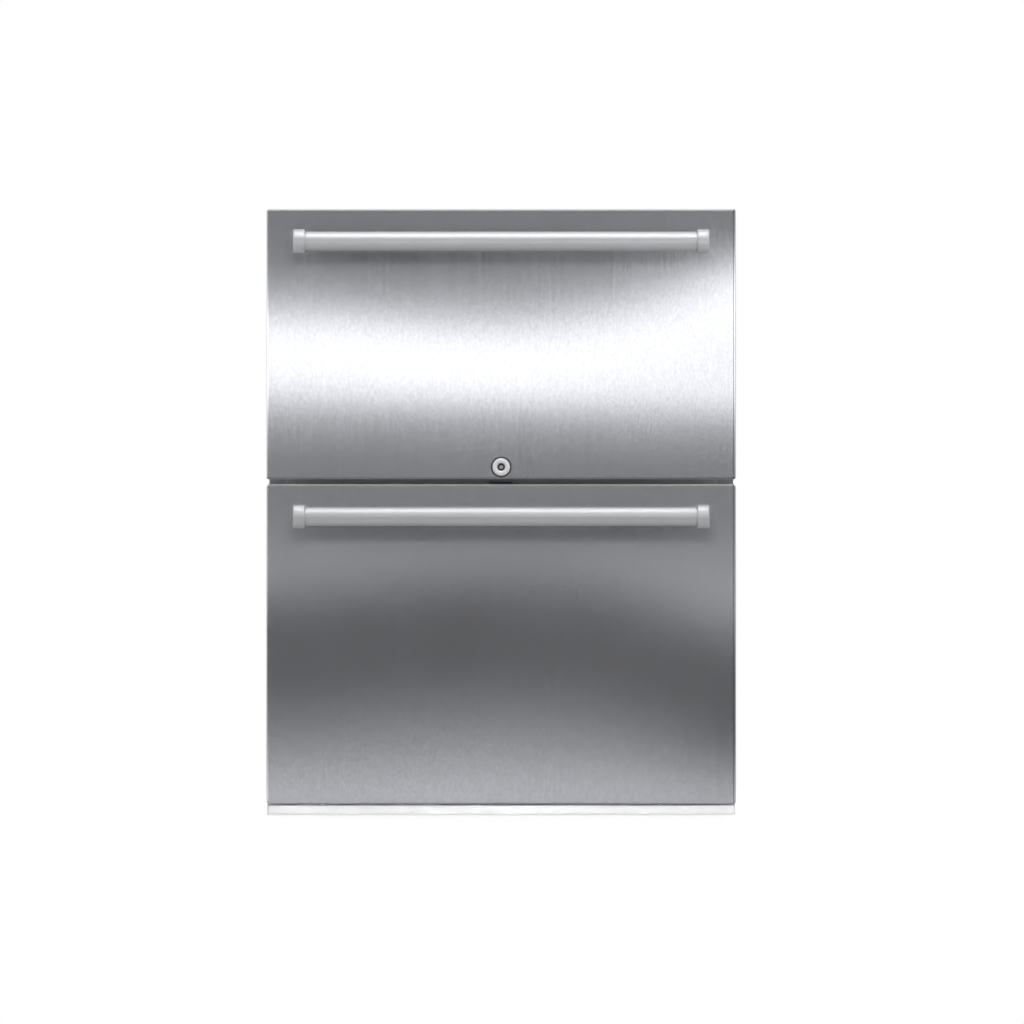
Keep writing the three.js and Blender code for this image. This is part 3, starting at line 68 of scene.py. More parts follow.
def make_camera():
    """Square to the fronts and far away, because the photograph shows no perspective."""
    data = bpy.data.cameras.new("camera")
    camera = bpy.data.objects.new("camera", data)
    scene.collection.objects.link(camera)
    scene.camera = camera
    across = (PICTURE / 2 - CENTRE_PIXEL_X) * PIXEL
    height = (FLOOR_PIXEL_Y - PICTURE / 2) * PIXEL
    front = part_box("upper_front_skin")[0].y
    camera.location = (across, front - CAMERA_DISTANCE, height)
    camera.rotation_euler = (math.pi / 2, 0, 0)
    data.sensor_width = SENSOR
    data.lens = SENSOR * CAMERA_DISTANCE / (PICTURE * PIXEL)
    data.clip_start = CLIP_NEAR
    data.clip_end = CLIP_FAR


# ---------------------------------------------------------------- node helpers

# Most of a noise's values lie in this range.
NOISE_RANGE = (0.3, 0.7)


def add(tree, kind, inputs=None, **settings):
    """A node with its settings and inputs; an input is a value or another node's socket."""
    node = tree.nodes.new(kind)
    for key, value in settings.items():
        setattr(node, key, value)
    for key, value in (inputs or {}).items():
        if isinstance(value, bpy.types.NodeSocket):
            tree.links.new(value, node.inputs[key])
        else:
            node.inputs[key].default_value = value
    return node


def maths(tree, operation, *values, clamp=False):
    """The result of one Math node."""
    return add(
        tree,
        "ShaderNodeMath",
        dict(enumerate(values)),
        operation=operation,
        use_clamp=clamp,
    ).outputs[0]


def total(tree, *values):
    """The sum of several values."""
    result = values[0]
    for value in values[1:]:
        result = maths(tree, "ADD", result, value)
    return result


def strongest(tree, masks):
    """The largest of several values."""
    result = masks[0]
    for mask in masks[1:]:
        result = maths(tree, "MAXIMUM", result, mask)
    return result


def ramp(tree, value, low, high, to_low=0.0, to_high=1.0, smooth=False):
    """Maps value from the range low..high to the range to_low..to_high."""
    return add(
        tree,
        "ShaderNodeMapRange",
        {0: value, 1: low, 2: high, 3: to_low, 4: to_high},
        interpolation_type="SMOOTHSTEP" if smooth else "LINEAR",
    ).outputs[0]


def step(tree, value, low, high, to_low=0.0, to_high=1.0):
    """A ramp with soft ends."""
    return ramp(tree, value, low, high, to_low, to_high, smooth=True)


def by_noise(tree, value, to_low, to_high):
    """Maps a noise's usual range to the range to_low..to_high."""
    return ramp(tree, value, *NOISE_RANGE, to_low, to_high)


def object_place(tree):
    """Object coordinates, which are the shared frame's at rest."""
    return add(tree, "ShaderNodeTexCoord").outputs["Object"]


def object_axes(tree):
    """The object coordinates' X, Y and Z."""
    return add(tree, "ShaderNodeSeparateXYZ", {0: object_place(tree)}).outputs


def place(tree, scale=(1.0, 1.0, 1.0)):
    """Object coordinates, stretched."""
    return add(tree, "ShaderNodeMapping", {"Vector": object_place(tree), "Scale": scale}).outputs[0]


def noise(tree, scale, detail=3.0, stretch=(1.0, 1.0, 1.0), rough=0.55):
    """A noise between 0 and 1."""
    return add(
        tree,
        "ShaderNodeTexNoise",
        {"Vector": place(tree, stretch), "Scale": scale, "Detail": detail, "Roughness": rough},
    ).outputs["Fac"]


def blend(tree, share, first, second):
    """Mixes two colours by share. Each of the three is a value or a socket."""
    mix = add(tree, "ShaderNodeMix", {"Factor": share}, data_type="RGBA")
    for index, value in {6: first, 7: second}.items():
        if isinstance(value, bpy.types.NodeSocket):
            tree.links.new(value, mix.inputs[index])
        else:
            mix.inputs[index].default_value = (*value, 1.0)
    return mix.outputs[2]


def shade(colour, by):
    """A colour made lighter or darker."""
    return tuple(min(channel * by, 1.0) for channel in colour)


def toned(tree, share, colour, darker, lighter):
    """A colour that goes from darker to lighter by share; both are factors of the colour."""
    return blend(tree, share, shade(colour, darker), shade(colour, lighter))


def bump(tree, height, distance, strength=1.0, under=None):
    """A bump normal from a height field; distance is in metres."""
    inputs = {"Height": height, "Distance": distance, "Strength": strength}
    if under is not None:
        inputs["Normal"] = under
    return add(tree, "ShaderNodeBump", inputs).outputs[0]


def new_look(name, metallic=0.0, **fixed):
    """A material with a Principled shader whose constant sockets are set."""
    material = bpy.data.materials.new(name)
    material.use_nodes = True
    tree = material.node_tree
    shader = tree.nodes["Principled BSDF"]
    shader.inputs["Metallic"].default_value = metallic
    for key, value in fixed.items():
        shader.inputs[key.replace("_", " ")].default_value = value
    return material, tree, shader


def wire(tree, shader, **sockets):
    """Links sockets to the shader's inputs of those names."""
    for key, value in sockets.items():
        tree.links.new(value, shader.inputs[key.replace("_", " ")])


def inside(material):
    """A finished look's node tree, its shader, and the socket that its colour comes from."""
    tree = material.node_tree
    shader = tree.nodes["Principled BSDF"]
    return tree, shader, shader.inputs["Base Color"].links[0].from_socket


# ---------------------------------------------------------------- materials

# Grains: how far the noise is stretched along X, Y and Z.
VERTICAL_GRAIN = (1500.0, 1500.0, 9.0)
LENGTHWISE_GRAIN = (14.0, 1300.0, 1300.0)
SPECKLE_GRAIN = (1500.0, 1500.0, 700.0)

# Brushed metal: its fine and broad lines, and what they and soft clouds add to the roughness.
FINE_SHARE = 0.6
BROAD_SHARE = 0.4
BROAD_SCALE = 0.22
GRAIN_TONES = (0.93, 1.07)
GRAIN_GLOSS = 0.04
CLOUD_GLOSS = 0.02

# The fronts' folds: a painted highlight on the top, left and right folds, painted shade on the upper
# front's bottom fold and in a line inside the right fold; and the speckle of their face.
FOLD_WIDTH = 0.0022
FOLD_SOFT = 0.0004
FOLD_HIGHLIGHT_TONE = 1.6
FOLD_SHADE_TONE = 0.5
SHADE_LINE_INSET = 0.0034
SHADE_LINE_WIDTH = 0.0009
RIGHT_HIGHLIGHT_SHARE = 0.35
FACE_SHARE = 0.7
FOLD_SPREAD = 0.8
SPECKLE_SHARE = 0.6
SPECKLE_SCALE = 0.33
SPECKLE_RANGE = (0.25, 0.75)
SPECKLE_TONES = (0.86, 1.14)

# Zinc plating, and the painted shade on the slide members' front ends.
ZINC = (0.56, 0.57, 0.58)
ZINC_ROUGHNESS = 0.34
SLIDE_END = -0.2
SLIDE_FADE = 0.004
SLIDE_SHADE_TONE = 0.3

# The lock: distances from its axis between which its plating keeps its colour; inside the inner distance
# and outside the outer one, the colour is painted shade.
BEZEL_MOUTH = 0.0052
BEZEL_EDGE = 0.0111
KEY_POST = 0.0023
RING_SOFT = 0.0003
WORN_METALLIC = 0.35

# Galvanised sheet: how much of its tone is crystals, and how much is a finer mottle.
CRYSTAL_SHARE = 0.7
MOTTLE_SHARE = 0.3


def brushed_metal(name, colour, roughness, grain, spread=0.0, metallic=0.85):
    """Metal with a fine straight grain: grain is the stretch of its lines along X, Y and Z."""
    material, tree, shader = new_look(name, metallic=metallic, Anisotropic=spread)
    fine = noise(tree, 1.0, detail=2.0, stretch=grain, rough=0.6)
    broad = noise(tree, BROAD_SCALE, detail=2.0, stretch=grain, rough=0.5)
    cloud = noise(tree, 5.0, detail=2.0)
    fine_part = maths(tree, "MULTIPLY", fine, FINE_SHARE)
    broad_part = maths(tree, "MULTIPLY", broad, BROAD_SHARE)
    lines = maths(tree, "ADD", fine_part, broad_part)
    streak = by_noise(tree, lines, -GRAIN_GLOSS, GRAIN_GLOSS)
    mottle = maths(tree, "ADD", streak, by_noise(tree, cloud, -CLOUD_GLOSS, CLOUD_GLOSS))
    wire(
        tree,
        shader,
        Base_Color=toned(tree, lines, colour, *GRAIN_TONES),
        Roughness=maths(tree, "ADD", mottle, roughness, clamp=True),
        Normal=bump(tree, lines, 0.00001),
    )
    if spread:
        turn = add(tree, "ShaderNodeTangent", direction_type="RADIAL", axis="Z").outputs[0]
        wire(tree, shader, Tangent=turn)
    return material


def strip_mask(tree, value, low, high):
    """One between low and high, and nothing outside them."""
    rise = ramp(tree, value, low - FOLD_SOFT, low)
    fall = ramp(tree, value, high + FOLD_SOFT, high)
    return maths(tree, "MULTIPLY", rise, fall)


def folded_steel(name, colour, roughness):
    """The fronts' sheet, with a painted highlight on its top, left and right folds and painted shade on
    the upper front's bottom fold and in a line inside the right fold.
    """
    metal = brushed_metal(name, colour, roughness, VERTICAL_GRAIN, spread=FOLD_SPREAD, metallic=0.8)
    tree, shader, plain = inside(metal)
    axes = object_axes(tree)
    # Painted highlight: the sheet is made lighter on both fronts' top folds and the left fold, and a
    # little on the right fold.
    bright = []
    for front in ("upper_front_skin", "lower_front_skin"):
        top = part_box(front)[1].z
        bright.append(strip_mask(tree, axes["Z"], top - FOLD_WIDTH, top - FOLD_SOFT))
    low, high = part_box("upper_front_skin")
    bright.append(strip_mask(tree, axes["X"], low.x, low.x + FOLD_WIDTH))
    right = strip_mask(tree, axes["X"], high.x - FOLD_WIDTH, high.x)
    bright.append(maths(tree, "MULTIPLY", right, RIGHT_HIGHLIGHT_SHARE))
    # Painted shade: the sheet is made darker on the upper front's bottom fold and in a thin line inside
    # the right fold.
    line = high.x - SHADE_LINE_INSET
    painted_shade = [
        strip_mask(tree, axes["Z"], low.z + FOLD_SOFT, low.z + FOLD_WIDTH),
        strip_mask(tree, axes["X"], line, line + SHADE_LINE_WIDTH),
    ]
    face = ramp(tree, axes["Y"], low.y + FOLD_WIDTH, low.y + FOLD_WIDTH * FACE_SHARE)
    highlight_mask = maths(tree, "MULTIPLY", strongest(tree, bright), face)
    shade_mask = maths(tree, "MULTIPLY", strongest(tree, painted_shade), face)
    short = noise(tree, SPECKLE_SCALE, detail=2.0, stretch=SPECKLE_GRAIN, rough=0.6)
    speckled = toned(tree, ramp(tree, short, *SPECKLE_RANGE), colour, *SPECKLE_TONES)
    sheet = blend(tree, SPECKLE_SHARE, plain, speckled)
    highlighted = blend(tree, highlight_mask, sheet, shade(colour, FOLD_HIGHLIGHT_TONE))
    wire(tree, shader, Base_Color=blend(tree, shade_mask, highlighted, shade(colour, FOLD_SHADE_TONE)))
    return metal


def plated_metal(name, colour, roughness, metallic=1.0):
    """Plated or polished metal with faint clouds and fine wear."""
    material, tree, shader = new_look(name, metallic=metallic)
    cloud = noise(tree, 40.0, detail=4.0)
    speck = noise(tree, 900.0, detail=2.0)
    wire(
        tree,
        shader,
        Base_Color=toned(tree, cloud, colour, 0.92, 1.06),
        Roughness=by_noise(tree, cloud, roughness * 0.8, roughness * 1.25),
        Normal=bump(tree, speck, 0.00001, 0.4),
    )
    return material


def slide_zinc_painted_shade(name):
    """Zinc-plated slide members with painted shade on their front ends, where they show in the gap between
    the fronts.
    """
    metal = plated_metal(name, ZINC, ZINC_ROUGHNESS)
    tree, shader, plain = inside(metal)
    # Painted shade: the front ends darken to stand in for the shade in the gap between the fronts.
    painted_shade = ramp(tree, object_axes(tree)["Y"], SLIDE_END + SLIDE_FADE, SLIDE_END)
    wire(tree, shader, Base_Color=blend(tree, painted_shade, plain, shade(ZINC, SLIDE_SHADE_TONE)))
    return metal


def ringed_metal(name, colour, roughness, axis, inner, outer, shade_colour):
    """Satin plating that keeps its colour only between two distances from an axis along Y; inside the
    inner distance and outside the outer one, it takes a dark colour that is painted shade.
    """
    metal = plated_metal(name, colour, roughness, metallic=WORN_METALLIC)
    tree, shader, plain = inside(metal)
    from_axis = {0: object_place(tree), 1: axis}
    offset = add(tree, "ShaderNodeVectorMath", from_axis, operation="SUBTRACT").outputs[0]
    flat = add(tree, "ShaderNodeVectorMath", {0: offset, 1: (1, 0, 1)}, operation="MULTIPLY").outputs[0]
    away = add(tree, "ShaderNodeVectorMath", {0: flat}, operation="LENGTH").outputs["Value"]
    within = ramp(tree, away, inner - RING_SOFT, inner)
    without = ramp(tree, away, outer + RING_SOFT, outer)
    bright = maths(tree, "MULTIPLY", within, without)
    wire(tree, shader, Base_Color=blend(tree, bright, shade_colour, plain))
    return metal


def galvanised_metal(name, colour, roughness):
    """Hot-dipped sheet: crystals of differing tone, finely mottled."""
    material, tree, shader = new_look(name, metallic=0.9)
    cell = add(tree, "ShaderNodeTexVoronoi", {"Vector": place(tree), "Scale": 130.0}).outputs["Color"]
    grey = add(tree, "ShaderNodeSeparateColor", {0: cell}).outputs[0]
    cloud = noise(tree, 300.0, detail=3.0)
    crystals = maths(tree, "MULTIPLY", grey, CRYSTAL_SHARE)
    tone = maths(tree, "ADD", crystals, maths(tree, "MULTIPLY", cloud, MOTTLE_SHARE))
    wire(
        tree,
        shader,
        Base_Color=toned(tree, tone, colour, 0.82, 1.12),
        Roughness=ramp(tree, tone, 0.0, 1.0, roughness - 0.1, roughness + 0.12),
        Normal=bump(tree, cloud, 0.00002, 0.5),
    )
    return material


def painted_metal(name, colour, roughness, peel=700.0):
    """Enamel with the fine orange peel of a sprayed coat."""
    material, tree, shader = new_look(name, Coat_Weight=0.15, Coat_Roughness=0.2)
    skin = noise(tree, peel, detail=1.0)
    cloud = noise(tree, 6.0, detail=4.0)
    wire(
        tree,
        shader,
        Base_Color=toned(tree, cloud, colour, 0.97, 1.02),
        Roughness=by_noise(tree, cloud, roughness - 0.05, roughness + 0.05),
        Normal=bump(tree, skin, 0.00003, 0.5),
    )
    return material


def moulded_plastic(name, colour, roughness):
    """Moulded or vacuum-formed plastic: a fine texture and a soft unevenness."""
    material, tree, shader = new_look(name, Specular_IOR_Level=0.45)
    skin = noise(tree, 1200.0, detail=2.0)
    wave = noise(tree, 14.0, detail=2.0)
    normal = bump(tree, skin, 0.00003, 0.4)
    wire(
        tree,
        shader,
        Base_Color=toned(tree, wave, colour, 0.965, 1.02),
        Roughness=by_noise(tree, skin, roughness - 0.06, roughness + 0.06),
        Normal=bump(tree, wave, 0.0002, 0.3, normal),
    )
    return material


def milky_plastic(name):
    """Diffusing plastic with a fine prismatic grain."""
    material, tree, shader = new_look(name, Subsurface_Weight=0.3, Subsurface_Scale=0.004)
    cloud = noise(tree, 40.0)
    prism = add(tree, "ShaderNodeTexWave", {"Vector": place(tree), "Scale": 180.0}).outputs["Fac"]
    wire(
        tree,
        shader,
        Base_Color=blend(tree, cloud, (0.86, 0.87, 0.86), (0.93, 0.94, 0.93)),
        Roughness=by_noise(tree, cloud, 0.28, 0.4),
        Normal=bump(tree, prism, 0.00004, 0.5),
    )
    return material


def soft_rubber(name, colour):
    """Matt flexible rubber with a dusty bloom."""
    material, tree, shader = new_look(name, Specular_IOR_Level=0.3)
    bloom = noise(tree, 60.0, detail=4.0)
    skin = noise(tree, 1500.0, detail=2.0)
    wire(
        tree,
        shader,
        Base_Color=toned(tree, bloom, colour, 0.85, 1.15),
        Roughness=by_noise(tree, bloom, 0.68, 0.85),
        Normal=bump(tree, skin, 0.00005, 0.4),
    )
    return material


def rigid_foam(name, colour):
    """Cut or cast insulating foam: open cells in a cream base."""
    material, tree, shader = new_look(name, Specular_IOR_Level=0.15)
    cell = add(tree, "ShaderNodeTexVoronoi", {"Vector": place(tree), "Scale": 700.0}).outputs["Distance"]
    stain = noise(tree, 12.0, detail=4.0)
    wire(
        tree,
        shader,
        Base_Color=toned(tree, stain, colour, 0.85, 1.08),
        Roughness=ramp(tree, cell, 0.0, 0.6, 0.95, 0.8),
        Normal=bump(tree, cell, 0.0003, 0.5),
    )
    return material


def finned_metal(name, colour):
    """Thin fin stock with faint rolling lines and a little dust."""
    material, tree, shader = new_look(name, metallic=0.95)
    rolling = noise(tree, 1.0, detail=2.0, stretch=(400.0, 400.0, 30.0))
    dust = noise(tree, 25.0, detail=4.0)
    wire(
        tree,
        shader,
        Base_Color=toned(tree, dust, colour, 0.86, 1.06),
        Roughness=by_noise(tree, dust, 0.34, 0.5),
        Normal=bump(tree, rolling, 0.00003, 0.5),
    )
    return material


def drawn_copper(name, colour):
    """Drawn copper tube, browned in places by heat and handling."""
    material, tree, shader = new_look(name, metallic=1.0)
    tarnish = noise(tree, 30.0, detail=5.0)
    drawing = noise(tree, 1.0, detail=2.0, stretch=(700.0, 700.0, 60.0))
    wire(
        tree,
        shader,
        Base_Color=blend(tree, ramp(tree, tarnish, 0.35, 0.7), colour, shade(colour, 0.62)),
        Roughness=by_noise(tree, tarnish, 0.26, 0.45),
        Normal=bump(tree, drawing, 0.00002, 0.4),
    )
    return material


# The look of each material slot: a colour and, where the look takes one, a roughness.
LOOKS = {
    "front_steel": lambda n: folded_steel(n, (0.612, 0.622, 0.660), 0.17),
    "handle_steel": lambda n: brushed_metal(n, (0.675, 0.68, 0.695), 0.54, LENGTHWISE_GRAIN, metallic=0.7),
    "lock_chrome": lambda n: plated_metal(n, (0.88, 0.89, 0.91), 0.42),
    "zinc_plate": lambda n: plated_metal(n, ZINC, ZINC_ROUGHNESS),
    "galvanised_sheet": lambda n: galvanised_metal(n, (0.46, 0.48, 0.49), 0.46),
    "cabinet_paint": lambda n: painted_metal(n, (0.30, 0.305, 0.315), 0.42),
    "plinth_paint": lambda n: painted_metal(n, (0.90, 0.90, 0.90), 0.5),
    "liner_plastic": lambda n: moulded_plastic(n, (0.84, 0.845, 0.84), 0.38),
    "bin_plastic": lambda n: moulded_plastic(n, (0.70, 0.71, 0.72), 0.42),
    "gasket_rubber": lambda n: soft_rubber(n, (0.20, 0.205, 0.21)),
    "insulating_foam": lambda n: rigid_foam(n, (0.78, 0.70, 0.46)),
    "black_plastic": lambda n: moulded_plastic(n, (0.016, 0.016, 0.018), 0.5),
    "black_paint": lambda n: painted_metal(n, (0.012, 0.012, 0.013), 0.38, peel=500.0),
    "motor_steel": lambda n: plated_metal(n, (0.17, 0.175, 0.18), 0.4),
    "copper_tube": lambda n: drawn_copper(n, (0.86, 0.46, 0.29)),
    "fin_aluminium": lambda n: finned_metal(n, (0.66, 0.67, 0.68)),
}


def centre_of(node):
    """The middle of a CAD node's box at rest."""
    low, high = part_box(node)
    return (Vector(low) + Vector(high)) / 2


def dress_nodes():
    """Gives every CAD node the look of its material slot, and some of them their own."""
    looks = {slot: make(slot) for slot, make in LOOKS.items()}
    worn = {part["node"]: looks[part["material_slot"]] for part in frame["record"]["subparts"]}
    # Painted shade: the strike's zinc is darkened to match the shade in the gap between the fronts.
    worn["lock_strike"] = plated_metal("strike_zinc_painted_shade", (0.24, 0.24, 0.25), 0.5, metallic=WORN_METALLIC)
    # Painted light: the rail takes a lighter copy of the cabinet paint, standing in for light that reaches
    # into the gap.
    worn["centre_rail"] = painted_metal("rail_paint_painted_light", (0.42, 0.425, 0.435), 0.42)
    sliding = slide_zinc_painted_shade("slide_zinc_painted_shade")
    for name in worn:
        if "_slide_" in name:
            worn[name] = sliding
    # Painted shade: dark in the lock's mouth and keyway, and in a ring of shadow around the bezel's edge.
    axis = centre_of("lock_barrel")
    worn["lock_barrel"] = ringed_metal(
        "bezel_chrome",
        (0.88, 0.88, 0.89),
        0.42,
        axis,
        BEZEL_MOUTH,
        BEZEL_EDGE,
        (0.05, 0.05, 0.052),
    )
    worn["lock_plug"] = ringed_metal(
        "key_plug_metal",
        (0.5, 0.5, 0.51),
        0.45,
        axis,
        0.0,
        KEY_POST,
        (0.035, 0.035, 0.037),
    )
    for name, look in worn.items():
        for entry in nodes[name].material_slots:
            entry.material = look
    return looks


# ---------------------------------------------------------------- mesh helpers

SHARP_DEGREES = 40


def link_mesh(name, mesh):
    """An object in the scene that holds a mesh."""
    obj = bpy.data.objects.new(name, mesh)
    scene.collection.objects.link(obj)
    return obj


def add_skin(body, rings, closed=False):
    """Bridges rings with the same number of points, and caps both ends unless they close on themselves."""
    rows = [[body.verts.new(point) for point in ring] for ring in rings]
    pairs = list(zip(rows, rows[1:]))
    if closed:
        pairs.append((rows[-1], rows[0]))
    count = len(rows[0])
    for low, high in pairs:
        for i in range(count):
            after = (i + 1) % count
            body.faces.new((low[i], low[after], high[after], high[i]))
    if not closed:
        body.faces.new(reversed(rows[0]))
        body.faces.new(rows[-1])


def mesh_piece(name, body):
    """A linked object from a finished body, smooth apart from its sharp edges."""
    bmesh.ops.recalc_face_normals(body, faces=body.faces)
    for face in body.faces:
        face.smooth = True
    mesh = bpy.data.meshes.new(name)
    body.to_mesh(mesh)
    body.free()
    mesh.set_sharp_from_angle(angle=math.radians(SHARP_DEGREES))
    return link_mesh(name, mesh)


def stacked(name, rings):
    """A closed body from rings with the same number of points, the first one at its foot."""
    body = bmesh.new()
    add_skin(body, rings)
    return mesh_piece(name, body)


def dress(piece, body, look):
    """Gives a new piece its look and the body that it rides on."""
    piece.data.materials.append(look)
    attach(piece, body)
    return piece


# ---------------------------------------------------------------- handles

TUBE_WALL = 0.0015
TUBE_SIDES = 96
POST_RADIUS = 0.015
POST_NECK_HALF = 0.009
POST_FOOT_HALF = 0.013
POST_FLARE = 0.004
POST_EDGE = 0.0018
COLLAR_RADIUS = 0.0105
COLLAR_WIDTH = 0.002
COLLAR_SIDES = 64
ARC_STEPS = 64
CURVE_STEPS = 12
EDGE_STEPS = 5


def x_ring(x, radius, y, z, sides):
    """A circle of points round an axis along X."""
    turns = [math.tau * i / sides for i in range(sides)]
    return [(x, y + radius * math.cos(turn), z + radius * math.sin(turn)) for turn in turns]


def bar_tube(name, node):
    """The handle's round tube, open at both ends."""
    low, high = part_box(node)
    y = (low.y + high.y) / 2
    z = (low.z + high.z) / 2
    outer = (high.z - low.z) / 2
    inner = outer - TUBE_WALL
    path = ((low.x, outer), (high.x, outer), (high.x, inner), (low.x, inner))
    body = bmesh.new()
    add_skin(body, [x_ring(x, radius, y, z, TUBE_SIDES) for x, radius in path], closed=True)
    return mesh_piece(name, body)


def post_outline(x, inset, y, z, root):
    """The end post's outline at x: round in front, waisted, and spread again at its foot."""
    radius = POST_RADIUS - inset
    neck = POST_NECK_HALF - inset
    foot = POST_FOOT_HALF - inset
    back = root - inset
    leave = math.asin(neck / radius)
    points = []
    for i in range(ARC_STEPS + 1):
        turn = leave + (math.tau - leave * 2) * i / ARC_STEPS
        points.append((x, y + radius * math.cos(turn), z + radius * math.sin(turn)))
    start = y + radius * math.cos(leave)
    curve = []
    for i in range(1, CURVE_STEPS + 1):
        t = i / CURVE_STEPS
        along = (1 - t) ** 2 * start + 2 * t * (1 - t) * (back - POST_FLARE) + t * t * back
        half = (1 - t) ** 2 * neck + 2 * t * (1 - t) * neck + t * t * foot
        curve.append((along, half))
    points += [(x, along, z - half) for along, half in curve]
    points += [(x, along, z + half) for along, half in reversed(curve)]
    return points


def end_post(name, node, bar, side):
    """A handle's end post with its rounded edges, and the collar that carries the tube."""
    low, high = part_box(node)
    y = low.y + POST_RADIUS
    z = (low.z + high.z) / 2
    outside = high.x if side > 0 else low.x
    inside_face = side * (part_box(bar)[1].x + COLLAR_WIDTH)
    width = abs(outside - inside_face)
    turns = [math.pi / 2 * i / EDGE_STEPS for i in range(EDGE_STEPS + 1)]
    steps = [(POST_EDGE * (1 - math.cos(a)), POST_EDGE * (1 - math.sin(a))) for a in turns]
    steps += [(width - along, inset) for along, inset in reversed(steps)]
    body = bmesh.new()
    rings = [post_outline(outside - side * along, inset, y, z, high.y) for along, inset in steps]
    add_skin(body, rings)
    collar = (inside_face + side * POST_EDGE, inside_face - side * COLLAR_WIDTH)
    add_skin(body, [x_ring(x, COLLAR_RADIUS, y, z, COLLAR_SIDES) for x in collar])
    return mesh_piece(name, body)


def make_handles(looks):
    """Finer handles over the plain solids of the same size."""
    steel = looks["handle_steel"]
    for level in ("upper", "lower"):
        drawer = f"{level}_drawer"
        bar = f"{level}_handle_bar"
        tube = dress(bar_tube(f"{level}_handle_tube", bar), drawer, steel)
        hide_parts(bar)
        for hand, side in (("left", -1), ("right", 1)):
            node = f"{level}_handle_post_{hand}"
            post = end_post(f"{level}_handle_end_{hand}", node, bar, side)
            dress(post, drawer, steel)
            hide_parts(node)


# ---------------------------------------------------------------- back sheet and small fittings

# How far the rear cover's louvres stand proud of the plane that it shares with the back panel.
LOUVRE_PROUD = 0.0015

SCREW_SIDES = 24
SCREW_RADIUS = 0.0038
SCREW_HEIGHT = 0.0018
SCREW_RIM = 0.35
SCREW_DOME_ANGLES = (0.0, 0.4, 0.8)
SCREW_INSET = 0.011
SCREWS_ALONG = {"back_panel": 4, "rear_cover": 3}
CROSS_ARMS = 4
CROSS_DEPTH = 0.35
CROSS_MOUTH = 0.42
CROSS_FLOOR = 0.24
CROSS_FLOOR_HEIGHT = 0.35

# Turned pieces: a share of the radius and a height for each ring, from the foot up.
PLUG_RADIUS = 0.014
PLUG_SHARE = 0.3
PLUG_SIDES = 40
PLUG_STEPS = ((1.0, 0.0), (1.0, 0.0008), (0.94, 0.0014), (0.74, 0.0014), (0.68, 0.0008), (0.2, 0.0006))
BUTTONS = 4
BUTTON_RADIUS = 0.0035
BUTTON_PITCH = 0.018
BUTTON_SIDES = 28
BUTTON_STEPS = ((1.0, 0.0), (1.0, 0.0005), (0.85, 0.0009), (0.4, 0.0011))

# The back sheet: its edge, and for each ring of a rib an inset and a share of the rib's height.
SHEET_EDGE = 0.0003
SHEET_CORNER = 0.005
RIB_PROUD = 0.002
RIB_WIDTH = 0.026
RIB_FROM_EDGE = 0.12
RIB_END = 0.05
RIB_ROUND = 0.999
RIB_STEPS = ((0.0, -0.2), (0.0, 0.0), (0.0008, 0.2), (0.0022, 0.6), (0.004, 0.88), (0.006, 1.0))

# Rounded plates: an inset and a height for each ring, from the foot up.
LENS_CORNER = 0.009
LENS_WIDTH_SHARE = 0.5
LENS_DEPTH_SHARE = 0.45
LENS_STEPS = ((0.0, 0.0), (0.0, 0.001), (0.0006, 0.0018), (0.003, 0.0026), (0.008, 0.003))
RAIL_END_CORNER = 0.001
RAIL_END_ROOM = 0.004
RAIL_END_STEPS = ((0.0, 0.0), (0.0, 0.0005), (0.0003, 0.0008))

RING_STEPS = 5
SHEET_RING_STEPS = 8


def rear_plane():
    """Where the back panel and the rear cover have their flat outer faces."""
    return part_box("rear_cover")[1].y - LOUVRE_PROUD


def fit(piece, at, out, look):
    """Turns a piece made on the XY plane to face out, and sets it down on the cabinet."""
    if out[2] < 0:
        turn = Matrix.Rotation(math.pi, 4, "X")
    else:
        turn = Vector((0, 0, 1)).rotation_difference(Vector(out)).to_matrix().to_4x4()
    piece.data.transform(Matrix.Translation(at) @ turn)
    return dress(piece, "cabinet", look)


def circle(radius, height, sides=SCREW_SIDES, lobes=0, depth=0.0):
    """A ring of points; with lobes, its radius swells and shrinks by depth around it."""
    ring = []
    for i in range(sides):
        angle = math.tau * i / sides
        reach = radius * (1 + depth * math.cos(lobes * angle))
        ring.append((reach * math.cos(angle), reach * math.sin(angle), height))
    return ring


def rounded_ring(width, depth, radius, height, steps=RING_STEPS):
    """A rounded rectangle of points around the origin."""
    ring = []
    for quarter, (sx, sy) in enumerate(((1, 1), (-1, 1), (-1, -1), (1, -1))):
        x = sx * (width / 2 - radius)
        y = sy * (depth / 2 - radius)
        for i in range(steps + 1):
            angle = (quarter + i / steps) * math.pi / 2
            ring.append((x + radius * math.cos(angle), y + radius * math.sin(angle), height))
    return ring


def standing_ring(at, width, height, radius, y):
    """A rounded rectangle of points that stands on the plane at y."""
    ring = rounded_ring(width, height, radius, 0.0, SHEET_RING_STEPS)
    return [(at[0] + x, y, at[1] + z) for x, z, _ in ring]


def turned_piece(name, radius, sides, steps):
    """A round piece from shares of its radius and their heights."""
    return stacked(name, [circle(radius * share, height, sides) for share, height in steps])


def rounded_plate(name, width, depth, corner, steps):
    """A rounded rectangular piece from insets and their heights."""
    rings = [rounded_ring(width - by * 2, depth - by * 2, corner - by, height) for by, height in steps]
    return stacked(name, rings)


